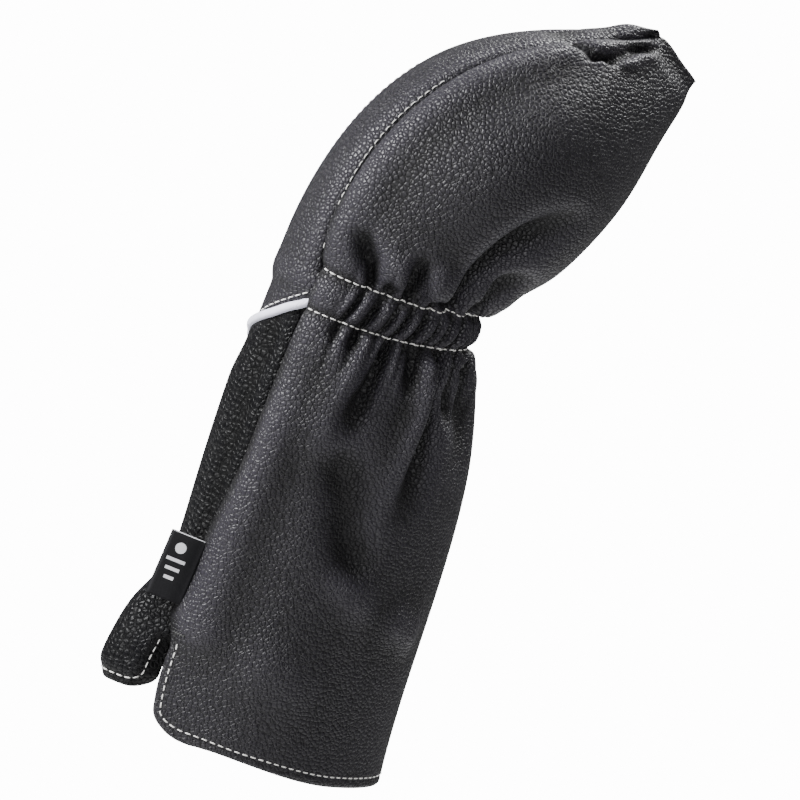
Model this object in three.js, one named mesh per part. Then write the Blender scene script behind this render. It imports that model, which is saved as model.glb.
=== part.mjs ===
// Driver head cover: a lined sock of pebbled synthetic leather for a golf driver.
//
// Two side panels and a long front strip are sewn into a tube.  The skirt goes down the shaft, an
// elastic waist grips the neck of the club, and the head pocket above it leans back over the toe.
//
// Frame: millimetres.  The origin is the middle of the mouth, +Z runs up the skirt, -Y is the front
// strip, +X is the right side, which carries the woven label.

import * as THREE from 'three';
import { mergeVertices } from 'three/addons/utils/BufferGeometryUtils.js';

// ---------------------------------------------------------------------------------------------
// Driving sizes
// ---------------------------------------------------------------------------------------------

// skirt
const SKIRT_HEIGHT = 193;          // mouth to the lower row of waist stitching, at the centre back
const FRONT_RISE = 5;              // how much higher that row is at the front strip
const MOUTH_DEPTH = 118;           // front to back at the mouth
const MOUTH_WIDTH = 76;            // side to side at the mouth
const SKIRT_BELLY = 11;            // how far the back swells between mouth and waist
const SKIRT_FRONT = 3;             // and how far the front strip does

// elastic waist
const BAND_FRONT = 18.5;            // between the two rows of stitching, at the front strip
const BAND_BACK = 14;              // and at the centre back
const WAIST_DEPTH = 98;
const WAIST_WIDTH = 66;
const WAIST_SAG = 4;               // how far the rows dip on the sides
const WAIST_SET_FORWARD = 9;       // middle of the waist in front of the shaft line
const ELASTIC_THICKNESS = 1.0;
const ELASTIC_MARGIN = 0.2;        // share of the band left free above and below the elastic

// head pocket, measured along its own leaning axis from the middle of the waist
const HEAD_LENGTH = 168;
const HEAD_LEAN = THREE.MathUtils.degToRad(35.6);
const HEAD_CROWN = 71;             // crown strip from the axis, at the fullest place
const HEAD_HEEL = 45;              // centre back from the axis, at the fullest place
const HEAD_WIDTH = 88;
const TIP_DEPTH = 38;              // length of the seam that closes the toe

// front strip
const STRIP_WAIST = 50;            // width where the piping crosses it
const STRIP_SKIRT = 38;            // width at the top of the vents
const STRIP_NECK = 16;             // pull on its width just above the waist, narrower than the seams
const STRIP_CROWN = 52;            // and over the crown, wider than the seams

// vents and tongue at the mouth
const VENT_HEIGHT = 44;            // top of the slit on each side of the tongue
const VENT_GAP = 5;                // width of the slit at the mouth
const VENT_CORNER = 12;            // radius of the side panel's lower front corner
const TONGUE_LIFT = 18;            // hem of the tongue above the mouth
const TONGUE_CORNER = 9;
const TONGUE_FOLD = 9;             // height of the zone where the tongue bends
const TONGUE_FLARE = 21;           // how far the tongue stands out at its hem
const FLARE_TOP = 82;              // height where the front begins to stand out
const FLARE_SPREAD = 21;           // how far round the cover the flare reaches

// stuff
const LEATHER = 1.4;
const LINING = 0.9;
const HEM_TURN = 12;               // height of the turned-in hem
const CLEARANCE = 0.3;             // between pieces that lie on each other
const LINING_EASE = 0.9;           // the lining and the elastic hang this far inside the leather
const SEAM_GAP = 0.4;              // between the edges of panels that are sewn together

// piping, thread and label
const PIPING_DIAMETER = 3.8;
const PIPING_CORE = 2.0;
const PIPING_RISE = 0.58;          // climb of the piping across the strip, from left to right
const PIPING_HEIGHT = 185.5;       // piping at the centre front
const THREAD_DIAMETER = 0.7;
const ROW_INSET = 4;               // stitch row from a hem, and from the piping
const BAR_TACK = [7, 1.6];         // length across the seam, and height
const LABEL_WIDTH = 29;            // along the seam
const LABEL_REACH = 15;            // out of the seam
const LABEL_FOOT = 59;             // lower end above the mouth
const LABEL_FORWARD = 4;           // its sewn edge in front of the seam, under the puffed leather
const LABEL_CLOTH = 0.6;
const LABEL_LOOP = 3.2;            // outside thickness of the open loop
const LABEL_TURN = THREE.MathUtils.degToRad(18);   // from straight forward towards the strip

// ---------------------------------------------------------------------------------------------
// The cover as one surface
//
// Height is told by s: 0 at the mouth, 1 at the lower waist row, 2 at the upper row, 3 at the toe.
// Round the cover, the place is told by the arc length from the centre front, positive to the right.
// ---------------------------------------------------------------------------------------------

const waistY = -WAIST_SET_FORWARD;
const waistZ = SKIRT_HEIGHT + FRONT_RISE / 2 + (BAND_FRONT + BAND_BACK) / 4;
const frontRow = SKIRT_HEIGHT + FRONT_RISE;
const waistFront = waistY - WAIST_DEPTH / 2;
const waistBack = waistY + WAIST_DEPTH / 2;
const mouthFront = -MOUTH_DEPTH / 2;
const mouthBack = MOUTH_DEPTH / 2;
const bandTopFront = [waistFront + 2, frontRow + BAND_FRONT];
const bandTopBack = [waistBack, SKIRT_HEIGHT + BAND_BACK];

/** A point of the head pocket's middle plane, from its place along and in front of the axis. */
function headPoint(along, front) {
  return [
    waistY + along * Math.sin(HEAD_LEAN) - front * Math.cos(HEAD_LEAN),
    waistZ + along * Math.cos(HEAD_LEAN) + front * Math.sin(HEAD_LEAN),
  ];
}

const frontLines = [
  [[mouthFront, 0], [mouthFront - SKIRT_FRONT, SKIRT_HEIGHT / 3],
    [waistFront - 2 * SKIRT_FRONT, SKIRT_HEIGHT * 0.7], [waistFront, frontRow]],
  [[waistFront, frontRow], [waistFront, frontRow + BAND_FRONT / 3],
    [waistFront + 1, frontRow + BAND_FRONT * 0.7], bandTopFront],
  [bandTopFront, headPoint(HEAD_LENGTH * 0.29, HEAD_CROWN * 1.16),
    headPoint(HEAD_LENGTH * 0.69, HEAD_CROWN * 0.93), headPoint(HEAD_LENGTH, TIP_DEPTH * 0.45)],
];
const backLines = [
  [[mouthBack, 0], [mouthBack - 6, SKIRT_HEIGHT * 0.3],
    [mouthBack + SKIRT_BELLY, SKIRT_HEIGHT * 0.74], [waistBack, SKIRT_HEIGHT]],
  [[waistBack, SKIRT_HEIGHT], [waistBack - 1.5, SKIRT_HEIGHT + BAND_BACK / 3],
    [waistBack - 1.5, SKIRT_HEIGHT + BAND_BACK * 0.7], bandTopBack],
  [bandTopBack, headPoint(HEAD_LENGTH * 0.42, -HEAD_HEEL * 1.29),
    headPoint(HEAD_LENGTH * 0.69, -HEAD_HEEL * 0.84), headPoint(HEAD_LENGTH, -TIP_DEPTH * 0.55)],
];
const toeHalf = LEATHER + SEAM_GAP / 2;
const halfWidths = [
  [MOUTH_WIDTH / 2, MOUTH_WIDTH / 2, MOUTH_WIDTH / 2 + 5, WAIST_WIDTH / 2],
  [WAIST_WIDTH / 2, WAIST_WIDTH / 2 - 1, WAIST_WIDTH / 2 - 1, WAIST_WIDTH / 2],
  [WAIST_WIDTH / 2, HEAD_WIDTH * 0.62, HEAD_WIDTH * 0.62, toeHalf],
];

/** Cubic Bezier value of four numbers at t. */
function bezier(p, t) {
  const r = 1 - t;
  return r * r * r * p[0] + 3 * t * r * r * p[1] + 3 * t * t * r * p[2] + t * t * t * p[3];
}

/** Zone of s and the place in it, from 0 to 1. */
function zoneOf(s) {
  const zone = Math.min(2, Math.max(0, Math.floor(s)));
  return [zone, s - zone];
}

/** Point of the centre front or the centre back line. */
function linePoint(lines, s) {
  const [zone, t] = zoneOf(s);
  const points = lines[zone];
  return new THREE.Vector2(
    bezier(points.map((p) => p[0]), t),
    bezier(points.map((p) => p[1]), t),
  );
}

/** Half of the cover's width at s. */
function halfWidth(s) {
  const [zone, t] = zoneOf(s);
  return bezier(halfWidths[zone], t);
}

const SECTION_STEPS = 96;
const FRONT_FULLNESS = 0.12;       // the front half of a section is a little wider than the back half
const SAG_SPREAD = 0.6;            // reach of the waist's sag above and below it, in s
const sections = new Map();

/** Half section at s, from centre front to centre back, as points with their arc lengths. */
function sectionAt(s) {
  const key = s.toFixed(5);
  if (!sections.has(key)) {
    const front = linePoint(frontLines, s);
    const back = linePoint(backLines, s);
    const wide = halfWidth(s);
    const points = [];
    const arcs = [0];
    for (let i = 0; i <= SECTION_STEPS; i += 1) {
      const turn = (i / SECTION_STEPS) * Math.PI;
      const share = (1 - Math.cos(turn)) / 2;
      const x = wide * Math.sin(turn) * (1 + FRONT_FULLNESS * Math.cos(turn));
      const y = front.x + (back.x - front.x) * share;
      const sag = WAIST_SAG * Math.sin(turn) ** 2 * Math.exp(-(((s - 1.5) / SAG_SPREAD) ** 2));
      const z = front.y + (back.y - front.y) * share - sag;
      points.push(new THREE.Vector3(x, y, z));
      if (i > 0) {
        arcs.push(arcs[i - 1] + points[i].distanceTo(points[i - 1]));
      }
    }
    sections.set(key, { points, arcs });
  }
  return sections.get(key);
}

/** Arc length from the centre front to the centre back at s. */
function halfGirth(s) {
  return sectionAt(s).arcs[SECTION_STEPS];
}

/** How far the front stands out at height z and arc length a. */
function flare(z, a) {
  const t = THREE.MathUtils.clamp((FLARE_TOP - z) / (FLARE_TOP - TONGUE_LIFT), 0, 1);
  return TONGUE_FLARE * t * t * (3 - 2 * t) * Math.exp(-((a / FLARE_SPREAD) ** 2));
}

/** Point of the outer face at s and the signed arc length a. */
function faceP(s, a) {
  const { points, arcs } = sectionAt(s);
  const want = Math.min(Math.abs(a), arcs[SECTION_STEPS]);
  let i = 1;
  while (i < SECTION_STEPS && arcs[i] < want) {
    i += 1;
  }
  const t = (want - arcs[i - 1]) / (arcs[i] - arcs[i - 1]);
  const p = points[i - 1].clone().lerp(points[i], t);
  p.x *= Math.sign(a) || 1;
  p.y -= flare(p.z, a);
  return p;
}

/** Outward unit normal of the outer face. */
function faceNormal(s, a) {
  const ds = 0.01;
  const da = 0.6;
  const s0 = Math.max(0, s - ds);
  const s1 = Math.min(3, s + ds);
  const limit = halfGirth(s) - da;
  const aMid = THREE.MathUtils.clamp(a, -limit, limit);
  const up = faceP(s1, aMid).sub(faceP(s0, aMid));
  const round = faceP(s, aMid + da).sub(faceP(s, aMid - da));
  return round.cross(up).normalize();
}

/** Point at a depth under the outer face, on its own side of the middle plane; less than 0 is proud. */
function under(s, a, depth) {
  const p = faceP(s, a).addScaledVector(faceNormal(s, a), -depth);
  if (Math.abs(a) > SEAM_GAP) {
    p.x = Math.sign(a) * Math.max(Math.sign(a) * p.x, SEAM_GAP / 2);
  }
  return p;
}

/** s of the place where the face at arc length a has height z, in the skirt and the waist. */
function sAtHeight(z, a) {
  let low = 0;
  let high = 2.3;
  for (let i = 0; i < 30; i += 1) {
    const mid = (low + high) / 2;
    if (faceP(mid, a).z < z) {
      low = mid;
    } else {
      high = mid;
    }
  }
  return (low + high) / 2;
}

/** Half of the front strip's width at s. */
function stripHalf(s) {
  if (s <= 1) {
    return bezier([STRIP_SKIRT, STRIP_SKIRT, STRIP_WAIST - 2, STRIP_WAIST], s) / 2;
  }
  if (s <= 2) {
    return STRIP_WAIST / 2;
  }
  const toeEdge = toeHalf * 1.5;
  return bezier([STRIP_WAIST / 2, STRIP_NECK / 2, STRIP_CROWN / 2, toeEdge], s - 2);
}

/** Height of the piping's middle on the strip at arc length a. */
function pipingHeight(a) {
  return PIPING_HEIGHT + PIPING_RISE * a;
}

// ---------------------------------------------------------------------------------------------
// Makers of pieces
// ---------------------------------------------------------------------------------------------

const cover = new THREE.Group();

const LOOKS = {
  charcoal: { color: 0x333335, roughness: 0.55 },
  black: { color: 0x151517, roughness: 0.5 },
  satin: { color: 0xdcdce8, roughness: 0.4 },
  thread: { color: 0xe8e8ea, roughness: 0.8 },
  knit: { color: 0x26262a, roughness: 0.95 },
  elastic: { color: 0xd8d6d0, roughness: 0.9 },
  woven: { color: 0x0c0c0e, roughness: 0.85 },
  core: { color: 0xcfcfcf, roughness: 0.9 },
};

/** Adds one closed body to the cover under its name. */
function addPiece(name, look, geometry) {
  const bare = geometry;
  bare.deleteAttribute('normal');
  bare.deleteAttribute('uv');
  const closed = mergeVertices(bare, 1e-3);
  closed.computeVertexNormals();
  const mesh = new THREE.Mesh(closed, new THREE.MeshStandardMaterial({ ...LOOKS[look], metalness: 0 }));
  mesh.name = name;
  cover.add(mesh);
}

/**
 * A closed sheet.  place(u, v) gives [s, a] for u up the cover and v round it to the right, both
 * from 0 to 1; outer and inner give the depths of its two faces at s.
 */
function sheet(name, look, { place, rows, columns, outer, inner }) {
  const positions = [];
  const indices = [];
  const perFace = (rows + 1) * (columns + 1);
  for (const depth of [outer, inner]) {
    for (let j = 0; j <= rows; j += 1) {
      for (let i = 0; i <= columns; i += 1) {
        const [s, a] = place(j / rows, i / columns);
        positions.push(...under(s, a, depth(s)).toArray());
      }
    }
  }
  const at = (face, j, i) => face * perFace + j * (columns + 1) + i;
  const quad = (p, q, r, t) => indices.push(p, q, r, p, r, t);
  for (let j = 0; j < rows; j += 1) {
    for (let i = 0; i < columns; i += 1) {
      quad(at(0, j, i), at(0, j, i + 1), at(0, j + 1, i + 1), at(0, j + 1, i));
      quad(at(1, j, i), at(1, j + 1, i), at(1, j + 1, i + 1), at(1, j, i + 1));
    }
    quad(at(1, j, 0), at(0, j, 0), at(0, j + 1, 0), at(1, j + 1, 0));
    quad(at(0, j, columns), at(1, j, columns), at(1, j + 1, columns), at(0, j + 1, columns));
  }
  for (let i = 0; i < columns; i += 1) {
    quad(at(1, 0, i), at(1, 0, i + 1), at(0, 0, i + 1), at(0, 0, i));
    quad(at(0, rows, i), at(0, rows, i + 1), at(1, rows, i + 1), at(1, rows, i));
  }
  const geometry = new THREE.BufferGeometry();
  geometry.setAttribute('position', new THREE.Float32BufferAttribute(positions, 3));
  geometry.setIndex(indices);
  addPiece(name, look, geometry);
}

/** A round cord along a list of points. */
function cord(name, look, points, diameter, sides, steps, bore = 0) {
  const shape = new THREE.Shape().absarc(0, 0, diameter / 2, 0, 2 * Math.PI, false);
  if (bore > 0) {
    shape.holes.push(new THREE.Path().absarc(0, 0, bore / 2, 0, 2 * Math.PI, true));
  }
  const extrudePath = new THREE.CatmullRomCurve3(points, false, 'centripetal');
  addPiece(name, look, new THREE.ExtrudeGeometry(shape, {
    steps, curveSegments: sides, bevelEnabled: false, extrudePath,
  }));
}

const rideHeight = THREAD_DIAMETER / 2 + 2 * CLEARANCE;
const THREAD_SIDES = 5;
const THREAD_STEPS = 34;

/** A stitch row laid on the outer face through [s, a] places. */
function stitchRow(name, places) {
  const points = places.map(([s, a]) => under(s, a, -rideHeight));
  cord(name, 'thread', points, THREAD_DIAMETER, THREAD_SIDES, THREAD_STEPS);
}

/** Evenly spaced numbers from one value to another, both included. */
function spread(from, to, count) {
  return Array.from({ length: count }, (_, i) => from + ((to - from) * i) / (count - 1));
}

const onFace = () => 0;
const leatherBack = () => LEATHER;
const liningFace = () => LEATHER + LINING_EASE;
const liningBack = () => LEATHER + LINING_EASE + LINING;
const hemmedBack = (s) => (s <= HEM_TURN / SKIRT_HEIGHT ? 2 * LEATHER : LEATHER);
const elasticBack = () => LEATHER + LINING_EASE + ELASTIC_THICKNESS;
const bandFace = () => elasticBack() + CLEARANCE;
const bandBack = () => bandFace() + LINING;

const PANEL_COLUMNS = 12;
const STRIP_COLUMNS = 8;
const SIDES = [{ tag: 'right', sign: 1 }, { tag: 'left', sign: -1 }];

/** Arc length of a side panel's front edge at s: along the seam, and back round the vent. */
function sideEdge(s) {
  const z = s * SKIRT_HEIGHT;
  const seam = stripHalf(s) + SEAM_GAP / 2;
  if (z >= VENT_HEIGHT) {
    return seam;
  }
  const opening = VENT_GAP * (1 - z / VENT_HEIGHT);
  const low = Math.max(0, VENT_CORNER - z);
  return seam + opening + VENT_CORNER - Math.sqrt(VENT_CORNER ** 2 - low ** 2);
}

/** Half width of the tongue at height z above the mouth. */
function tongueHalf(z) {
  const low = Math.max(0, TONGUE_CORNER - (z - TONGUE_LIFT));
  const corner = TONGUE_CORNER - Math.sqrt(TONGUE_CORNER ** 2 - low ** 2);
  return STRIP_SKIRT / 2 - SEAM_GAP - corner;
}

/** Sheet on one side of the cover, through a list of levels, from its front edge to the centre back. */
function sideSheet(name, look, sign, levels, options) {
  const { columns, outer, inner, edge = (s) => stripHalf(s) + SEAM_GAP / 2 } = options;
  const rows = levels.length - 1;
  const place = (u, v) => {
    const s = levels[Math.round(u * rows)];
    const across = sign > 0 ? v : 1 - v;
    const front = edge(s);
    const back = halfGirth(s) - SEAM_GAP / 2;
    return [s, sign * (front + (back - front) * across)];
  };
  sheet(name, look, { place, rows, columns, outer, inner });
}

/** Sheet along the front strip between two heights that may change across it. */
function stripSheet(name, look, from, to, options) {
  const { rows, columns, outer, inner, half = (s) => stripHalf(s) - SEAM_GAP / 2 } = options;
  const place = (u, v) => {
    const across = 2 * v - 1;
    const guess = (from(across * STRIP_WAIST / 2) + to(across * STRIP_WAIST / 2)) / 2;
    const aGuess = across * half(guess);
    const s = from(aGuess) + (to(aGuess) - from(aGuess)) * u;
    return [s, across * half(s)];
  };
  sheet(name, look, { place, rows, columns, outer, inner });
}

// ---------------------------------------------------------------------------------------------
// Heights that pieces share
// ---------------------------------------------------------------------------------------------

const rowMargin = 2.2;                                   // panel beyond its row of waist stitching
const sSkirtTop = 1 + rowMargin / BAND_FRONT;
const sHeadFoot = 2 - rowMargin / BAND_FRONT;
const bandJoin = SEAM_GAP / BAND_BACK;
const sBandFoot = sSkirtTop + bandJoin;
const sBandTop = sHeadFoot - bandJoin;
const sVent = VENT_HEIGHT / SKIRT_HEIGHT;
const sHem = HEM_TURN / SKIRT_HEIGHT;                    // top of the turned-in hem
const hemStep = 2 * CLEARANCE / SKIRT_HEIGHT;            // height in which it ends
const liningInset = 3;                                   // facing kept back from the tongue's edge
const foldTop = VENT_HEIGHT + TONGUE_FOLD / 2;
const foldFoot = VENT_HEIGHT - TONGUE_FOLD / 2;
const pipingRoom = (PIPING_DIAMETER / 2 + 3 * CLEARANCE) * Math.hypot(1, PIPING_RISE);
const sLiningToe = 2.93;                                 // the lining stops short of the toe seam
const sPanelToe = 2.995;

// ---------------------------------------------------------------------------------------------
// Skirt
// ---------------------------------------------------------------------------------------------

const cornerLevels = [0, 0.15, 0.4, 0.7].map((k) => (k * VENT_CORNER) / SKIRT_HEIGHT);
const upperLevels = [(sHem + sVent) / 2, ...spread(sVent, sSkirtTop, 10)];
for (const { tag, sign } of SIDES) {
  sideSheet(`skirt_panel_${tag}`, 'charcoal', sign,
    [...cornerLevels, sHem, sHem + hemStep, ...upperLevels], {
      columns: PANEL_COLUMNS, outer: onFace, inner: hemmedBack, edge: sideEdge,
    });
  sideSheet(`skirt_lining_${tag}`, 'knit', sign, [sHem + 2 * hemStep, ...upperLevels], {
    columns: PANEL_COLUMNS, outer: liningFace, inner: liningBack, edge: sideEdge,
  });
}

const stripFoot = () => foldTop / SKIRT_HEIGHT;
const underPiping = (a) => sAtHeight(pipingHeight(a) - pipingRoom, a);
const overPiping = (a) => sAtHeight(pipingHeight(a) + pipingRoom, a);
stripSheet('front_strip', 'black', stripFoot, underPiping, {
  rows: 18, columns: STRIP_COLUMNS, outer: onFace, inner: leatherBack,
});
stripSheet('front_lining', 'knit', stripFoot, () => sSkirtTop, {
  rows: 16, columns: STRIP_COLUMNS, outer: liningFace, inner: liningBack,
});

const pipingPlaces = spread(-1, 1, 9).map((k) => {
  const a = k * (STRIP_WAIST / 2 - PIPING_DIAMETER / 2 - CLEARANCE);
  return under(sAtHeight(pipingHeight(a), a), a, 0.4 - PIPING_DIAMETER / 2 + LEATHER / 2);
});
cord('piping_cover', 'satin', pipingPlaces, PIPING_DIAMETER, 8, 16, PIPING_CORE + 2 * CLEARANCE);
cord('piping_core', 'core', pipingPlaces, PIPING_CORE, 6, 16);

// ---------------------------------------------------------------------------------------------
// Tongue, between the two vents
// ---------------------------------------------------------------------------------------------

const tongueStrip = (s) => tongueHalf(s * SKIRT_HEIGHT);
const foldFrom = () => (foldFoot + SEAM_GAP) / SKIRT_HEIGHT;
const foldTo = () => (foldTop - SEAM_GAP) / SKIRT_HEIGHT;
const tongueTop = () => foldFoot / SKIRT_HEIGHT;
const tongueHem = () => TONGUE_LIFT / SKIRT_HEIGHT;
stripSheet('tongue_fold', 'black', foldFrom, foldTo, {
  rows: 2, columns: STRIP_COLUMNS, outer: onFace, inner: leatherBack, half: tongueStrip,
});
stripSheet('tongue', 'black', tongueHem, tongueTop, {
  rows: 7, columns: STRIP_COLUMNS, outer: onFace, inner: leatherBack, half: tongueStrip,
});
stripSheet('tongue_facing', 'knit', () => (TONGUE_LIFT + liningInset) / SKIRT_HEIGHT, tongueTop, {
  rows: 5, columns: STRIP_COLUMNS, outer: liningFace, inner: liningBack,
  half: (s) => tongueStrip(s) - liningInset,
});

// ---------------------------------------------------------------------------------------------
// Elastic waist
// ---------------------------------------------------------------------------------------------

for (const { tag, sign } of SIDES) {
  sideSheet(`waist_panel_${tag}`, 'charcoal', sign, spread(sBandFoot, sBandTop, 4), {
    columns: PANEL_COLUMNS, outer: onFace, inner: leatherBack,
  });
}
stripSheet('waist_strip', 'charcoal', overPiping, () => sBandTop, {
  rows: 5, columns: STRIP_COLUMNS, outer: onFace, inner: leatherBack,
});

/** Band round the back of the waist, from the right front seam to the left one. */
function backBand(name, look, levels, outer, inner) {
  const rows = levels.length - 1;
  const columns = 2 * PANEL_COLUMNS + 1;
  const place = (u, v) => {
    const s = levels[Math.round(u * rows)];
    const step = Math.round(v * columns);
    const sign = step <= PANEL_COLUMNS ? 1 : -1;
    const share = (sign > 0 ? step : columns - step) / PANEL_COLUMNS;
    const front = stripHalf(s) + SEAM_GAP / 2;
    const back = halfGirth(s) - SEAM_GAP / 2;
    return [s, sign * (front + (back - front) * share)];
  };
  sheet(name, look, { place, rows, columns, outer, inner });
}
const bandSpan = sBandTop - sBandFoot;
const elasticLevels = spread(sBandFoot + ELASTIC_MARGIN * bandSpan,
  sBandTop - ELASTIC_MARGIN * bandSpan, 3);
backBand('waist_elastic', 'elastic', elasticLevels, liningFace, elasticBack);
backBand('waist_lining', 'knit', spread(sBandFoot, sBandTop, 4), bandFace, bandBack);
stripSheet('waist_front_lining', 'knit', () => sBandFoot, () => sBandTop, {
  rows: 2, columns: STRIP_COLUMNS, outer: bandFace, inner: bandBack,
});

// ---------------------------------------------------------------------------------------------
// Head pocket
// ---------------------------------------------------------------------------------------------

for (const { tag, sign } of SIDES) {
  sideSheet(`head_panel_${tag}`, 'charcoal', sign, spread(sHeadFoot, sPanelToe, 17), {
    columns: PANEL_COLUMNS, outer: onFace, inner: leatherBack,
  });
  sideSheet(`head_lining_${tag}`, 'knit', sign, spread(sHeadFoot, sLiningToe, 10), {
    columns: PANEL_COLUMNS, outer: liningFace, inner: liningBack,
  });
}
stripSheet('crown_strip', 'charcoal', () => sHeadFoot, () => sPanelToe, {
  rows: 17, columns: STRIP_COLUMNS, outer: onFace, inner: leatherBack,
});
stripSheet('crown_lining', 'knit', () => sHeadFoot, () => sLiningToe, {
  rows: 10, columns: STRIP_COLUMNS, outer: liningFace, inner: liningBack,
});

// ---------------------------------------------------------------------------------------------
// Stitching
// ---------------------------------------------------------------------------------------------

const edgeRow = 2;                 // the row beside a seam, from the seam
for (const { tag, sign } of SIDES) {
  const around = (s) => spread(0, 1, 12).map((k) => {
    const front = stripHalf(s) + edgeRow;
    return [s, sign * (front + (halfGirth(s) - edgeRow - front) * k)];
  });
  stitchRow(`waist_thread_lower_${tag}`, around(1));
  stitchRow(`waist_thread_upper_${tag}`, around(2));
  stitchRow(`crown_thread_${tag}`, spread(2.08, 2.8, 12).map((s) => [s, sign * (stripHalf(s) + edgeRow)]));

  const sRow = ROW_INSET / SKIRT_HEIGHT;
  const backStart = halfGirth(sRow) - edgeRow;
  const cornerArc = sideEdge(sRow) + ROW_INSET * 1.3;
  const hemPart = spread(backStart, cornerArc, 14).map((a) => [sRow, sign * a]);
  const ventPart = spread(VENT_CORNER, VENT_HEIGHT, 5).map((z) => {
    const s = z / SKIRT_HEIGHT;
    return [s, sign * (sideEdge(s) + ROW_INSET)];
  });
  stitchRow(`hem_thread_${tag}`, [...hemPart, ...ventPart]);
}

const tongueRow = (z, k) => [z / SKIRT_HEIGHT, k * (tongueHalf(z) - ROW_INSET)];
stitchRow('tongue_thread', [
  ...spread(foldFoot - 1, TONGUE_LIFT + TONGUE_CORNER, 4).map((z) => tongueRow(z, -1)),
  ...spread(-0.85, 0.85, 8).map((k) => tongueRow(TONGUE_LIFT + ROW_INSET, k)),
  ...spread(TONGUE_LIFT + TONGUE_CORNER, foldFoot - 1, 4).map((z) => tongueRow(z, 1)),
]);
stitchRow('piping_thread', spread(-1, 1, 9).map((k) => {
  const a = k * (STRIP_WAIST / 2 - edgeRow);
  return [sAtHeight(pipingHeight(a) + PIPING_DIAMETER / 2 + ROW_INSET, a), a];
}));

for (const { tag, sign } of SIDES) {
  const [length, tall] = BAR_TACK;
  const place = (u, v) => {
    const s = (foldTop + CLEARANCE + tall * u) / SKIRT_HEIGHT;
    return [s, sign * stripHalf(s) + (v - 0.5) * length];
  };
  const lift = () => -CLEARANCE;
  const top = () => -CLEARANCE - THREAD_DIAMETER;
  sheet(`bar_tack_${tag}`, 'thread', { place, rows: 1, columns: 4, outer: top, inner: lift });
}

// ---------------------------------------------------------------------------------------------
// Woven label, a loop of ribbon caught in the right front seam
// ---------------------------------------------------------------------------------------------

/** The loop's section: a hairpin with its round fold away from the seam. */
function hairpin() {
  const outer = LABEL_LOOP / 2;
  const inner = outer - LABEL_CLOTH;
  const bend = LABEL_REACH - outer;
  const shape = new THREE.Shape();
  shape.moveTo(0, -outer);
  shape.lineTo(bend, -outer);
  shape.absarc(bend, 0, outer, -Math.PI / 2, Math.PI / 2, false);
  shape.lineTo(0, outer);
  shape.lineTo(0, inner);
  shape.lineTo(bend, inner);
  shape.absarc(bend, 0, inner, Math.PI / 2, -Math.PI / 2, true);
  shape.lineTo(0, -inner);
  shape.closePath();
  return shape;
}

const labelMid = LABEL_FOOT + LABEL_WIDTH / 2;

/** Point of the label's sewn edge at height z, raised over the face. */
function labelEdge(z, rise) {
  const s = z / SKIRT_HEIGHT;
  return under(s, stripHalf(s) - LABEL_FORWARD, -rise);
}

const seamLow = labelEdge(LABEL_FOOT, LABEL_LOOP / 2);
const seamHigh = labelEdge(LABEL_FOOT + LABEL_WIDTH, LABEL_LOOP / 2);
const labelAxis = seamHigh.clone().sub(seamLow).normalize();
const forward = new THREE.Vector3(-Math.sin(LABEL_TURN), -Math.cos(LABEL_TURN), 0);
const across = labelAxis.clone().cross(forward).normalize();
const reach = across.clone().cross(labelAxis).normalize();
const seat = labelEdge(labelMid, LABEL_LOOP / 2 + 3 * CLEARANCE);
const label = new THREE.ExtrudeGeometry(hairpin(), {
  depth: LABEL_WIDTH, steps: 1, bevelEnabled: false, curveSegments: 6,
});
label.translate(0, 0, -LABEL_WIDTH / 2);
label.applyMatrix4(new THREE.Matrix4().makeBasis(reach, labelAxis.clone().cross(reach), labelAxis)
  .setPosition(seat));
addPiece('woven_label', 'woven', label);

export default cover;
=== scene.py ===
import math

import bpy
import numpy as np
from mathutils import Matrix, Vector


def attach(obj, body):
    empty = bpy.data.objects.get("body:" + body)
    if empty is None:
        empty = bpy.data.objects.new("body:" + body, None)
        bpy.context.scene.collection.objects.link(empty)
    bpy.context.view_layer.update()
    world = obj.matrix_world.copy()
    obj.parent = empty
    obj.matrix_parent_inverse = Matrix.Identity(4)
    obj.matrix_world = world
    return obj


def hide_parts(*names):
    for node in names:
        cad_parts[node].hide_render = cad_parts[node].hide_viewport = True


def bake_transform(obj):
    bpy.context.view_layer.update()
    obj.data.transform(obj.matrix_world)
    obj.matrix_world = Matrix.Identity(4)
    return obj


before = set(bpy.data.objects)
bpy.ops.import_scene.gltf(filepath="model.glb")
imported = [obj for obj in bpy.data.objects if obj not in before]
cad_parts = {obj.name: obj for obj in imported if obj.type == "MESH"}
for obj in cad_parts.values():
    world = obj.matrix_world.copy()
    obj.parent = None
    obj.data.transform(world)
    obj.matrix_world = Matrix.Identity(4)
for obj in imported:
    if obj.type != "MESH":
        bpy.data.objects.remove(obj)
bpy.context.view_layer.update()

# ---------------------------------------------------------------------------------------------
# Studio: a pale floor far below the cover, soft boxes round it, and a long lens that looks at
# the right side from a little in front and above, with the cover leaning to the right.
# ---------------------------------------------------------------------------------------------
scene = bpy.context.scene
VIEW_AZIMUTH = math.radians(65)
VIEW_ELEVATION = math.radians(10)
VIEW_ROLL = math.radians(17)
VIEW_CENTRE = Vector((-0.0188, 0.0259, 0.1587))
VIEW_DISTANCE = 2.8675
LENS = 300

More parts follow.
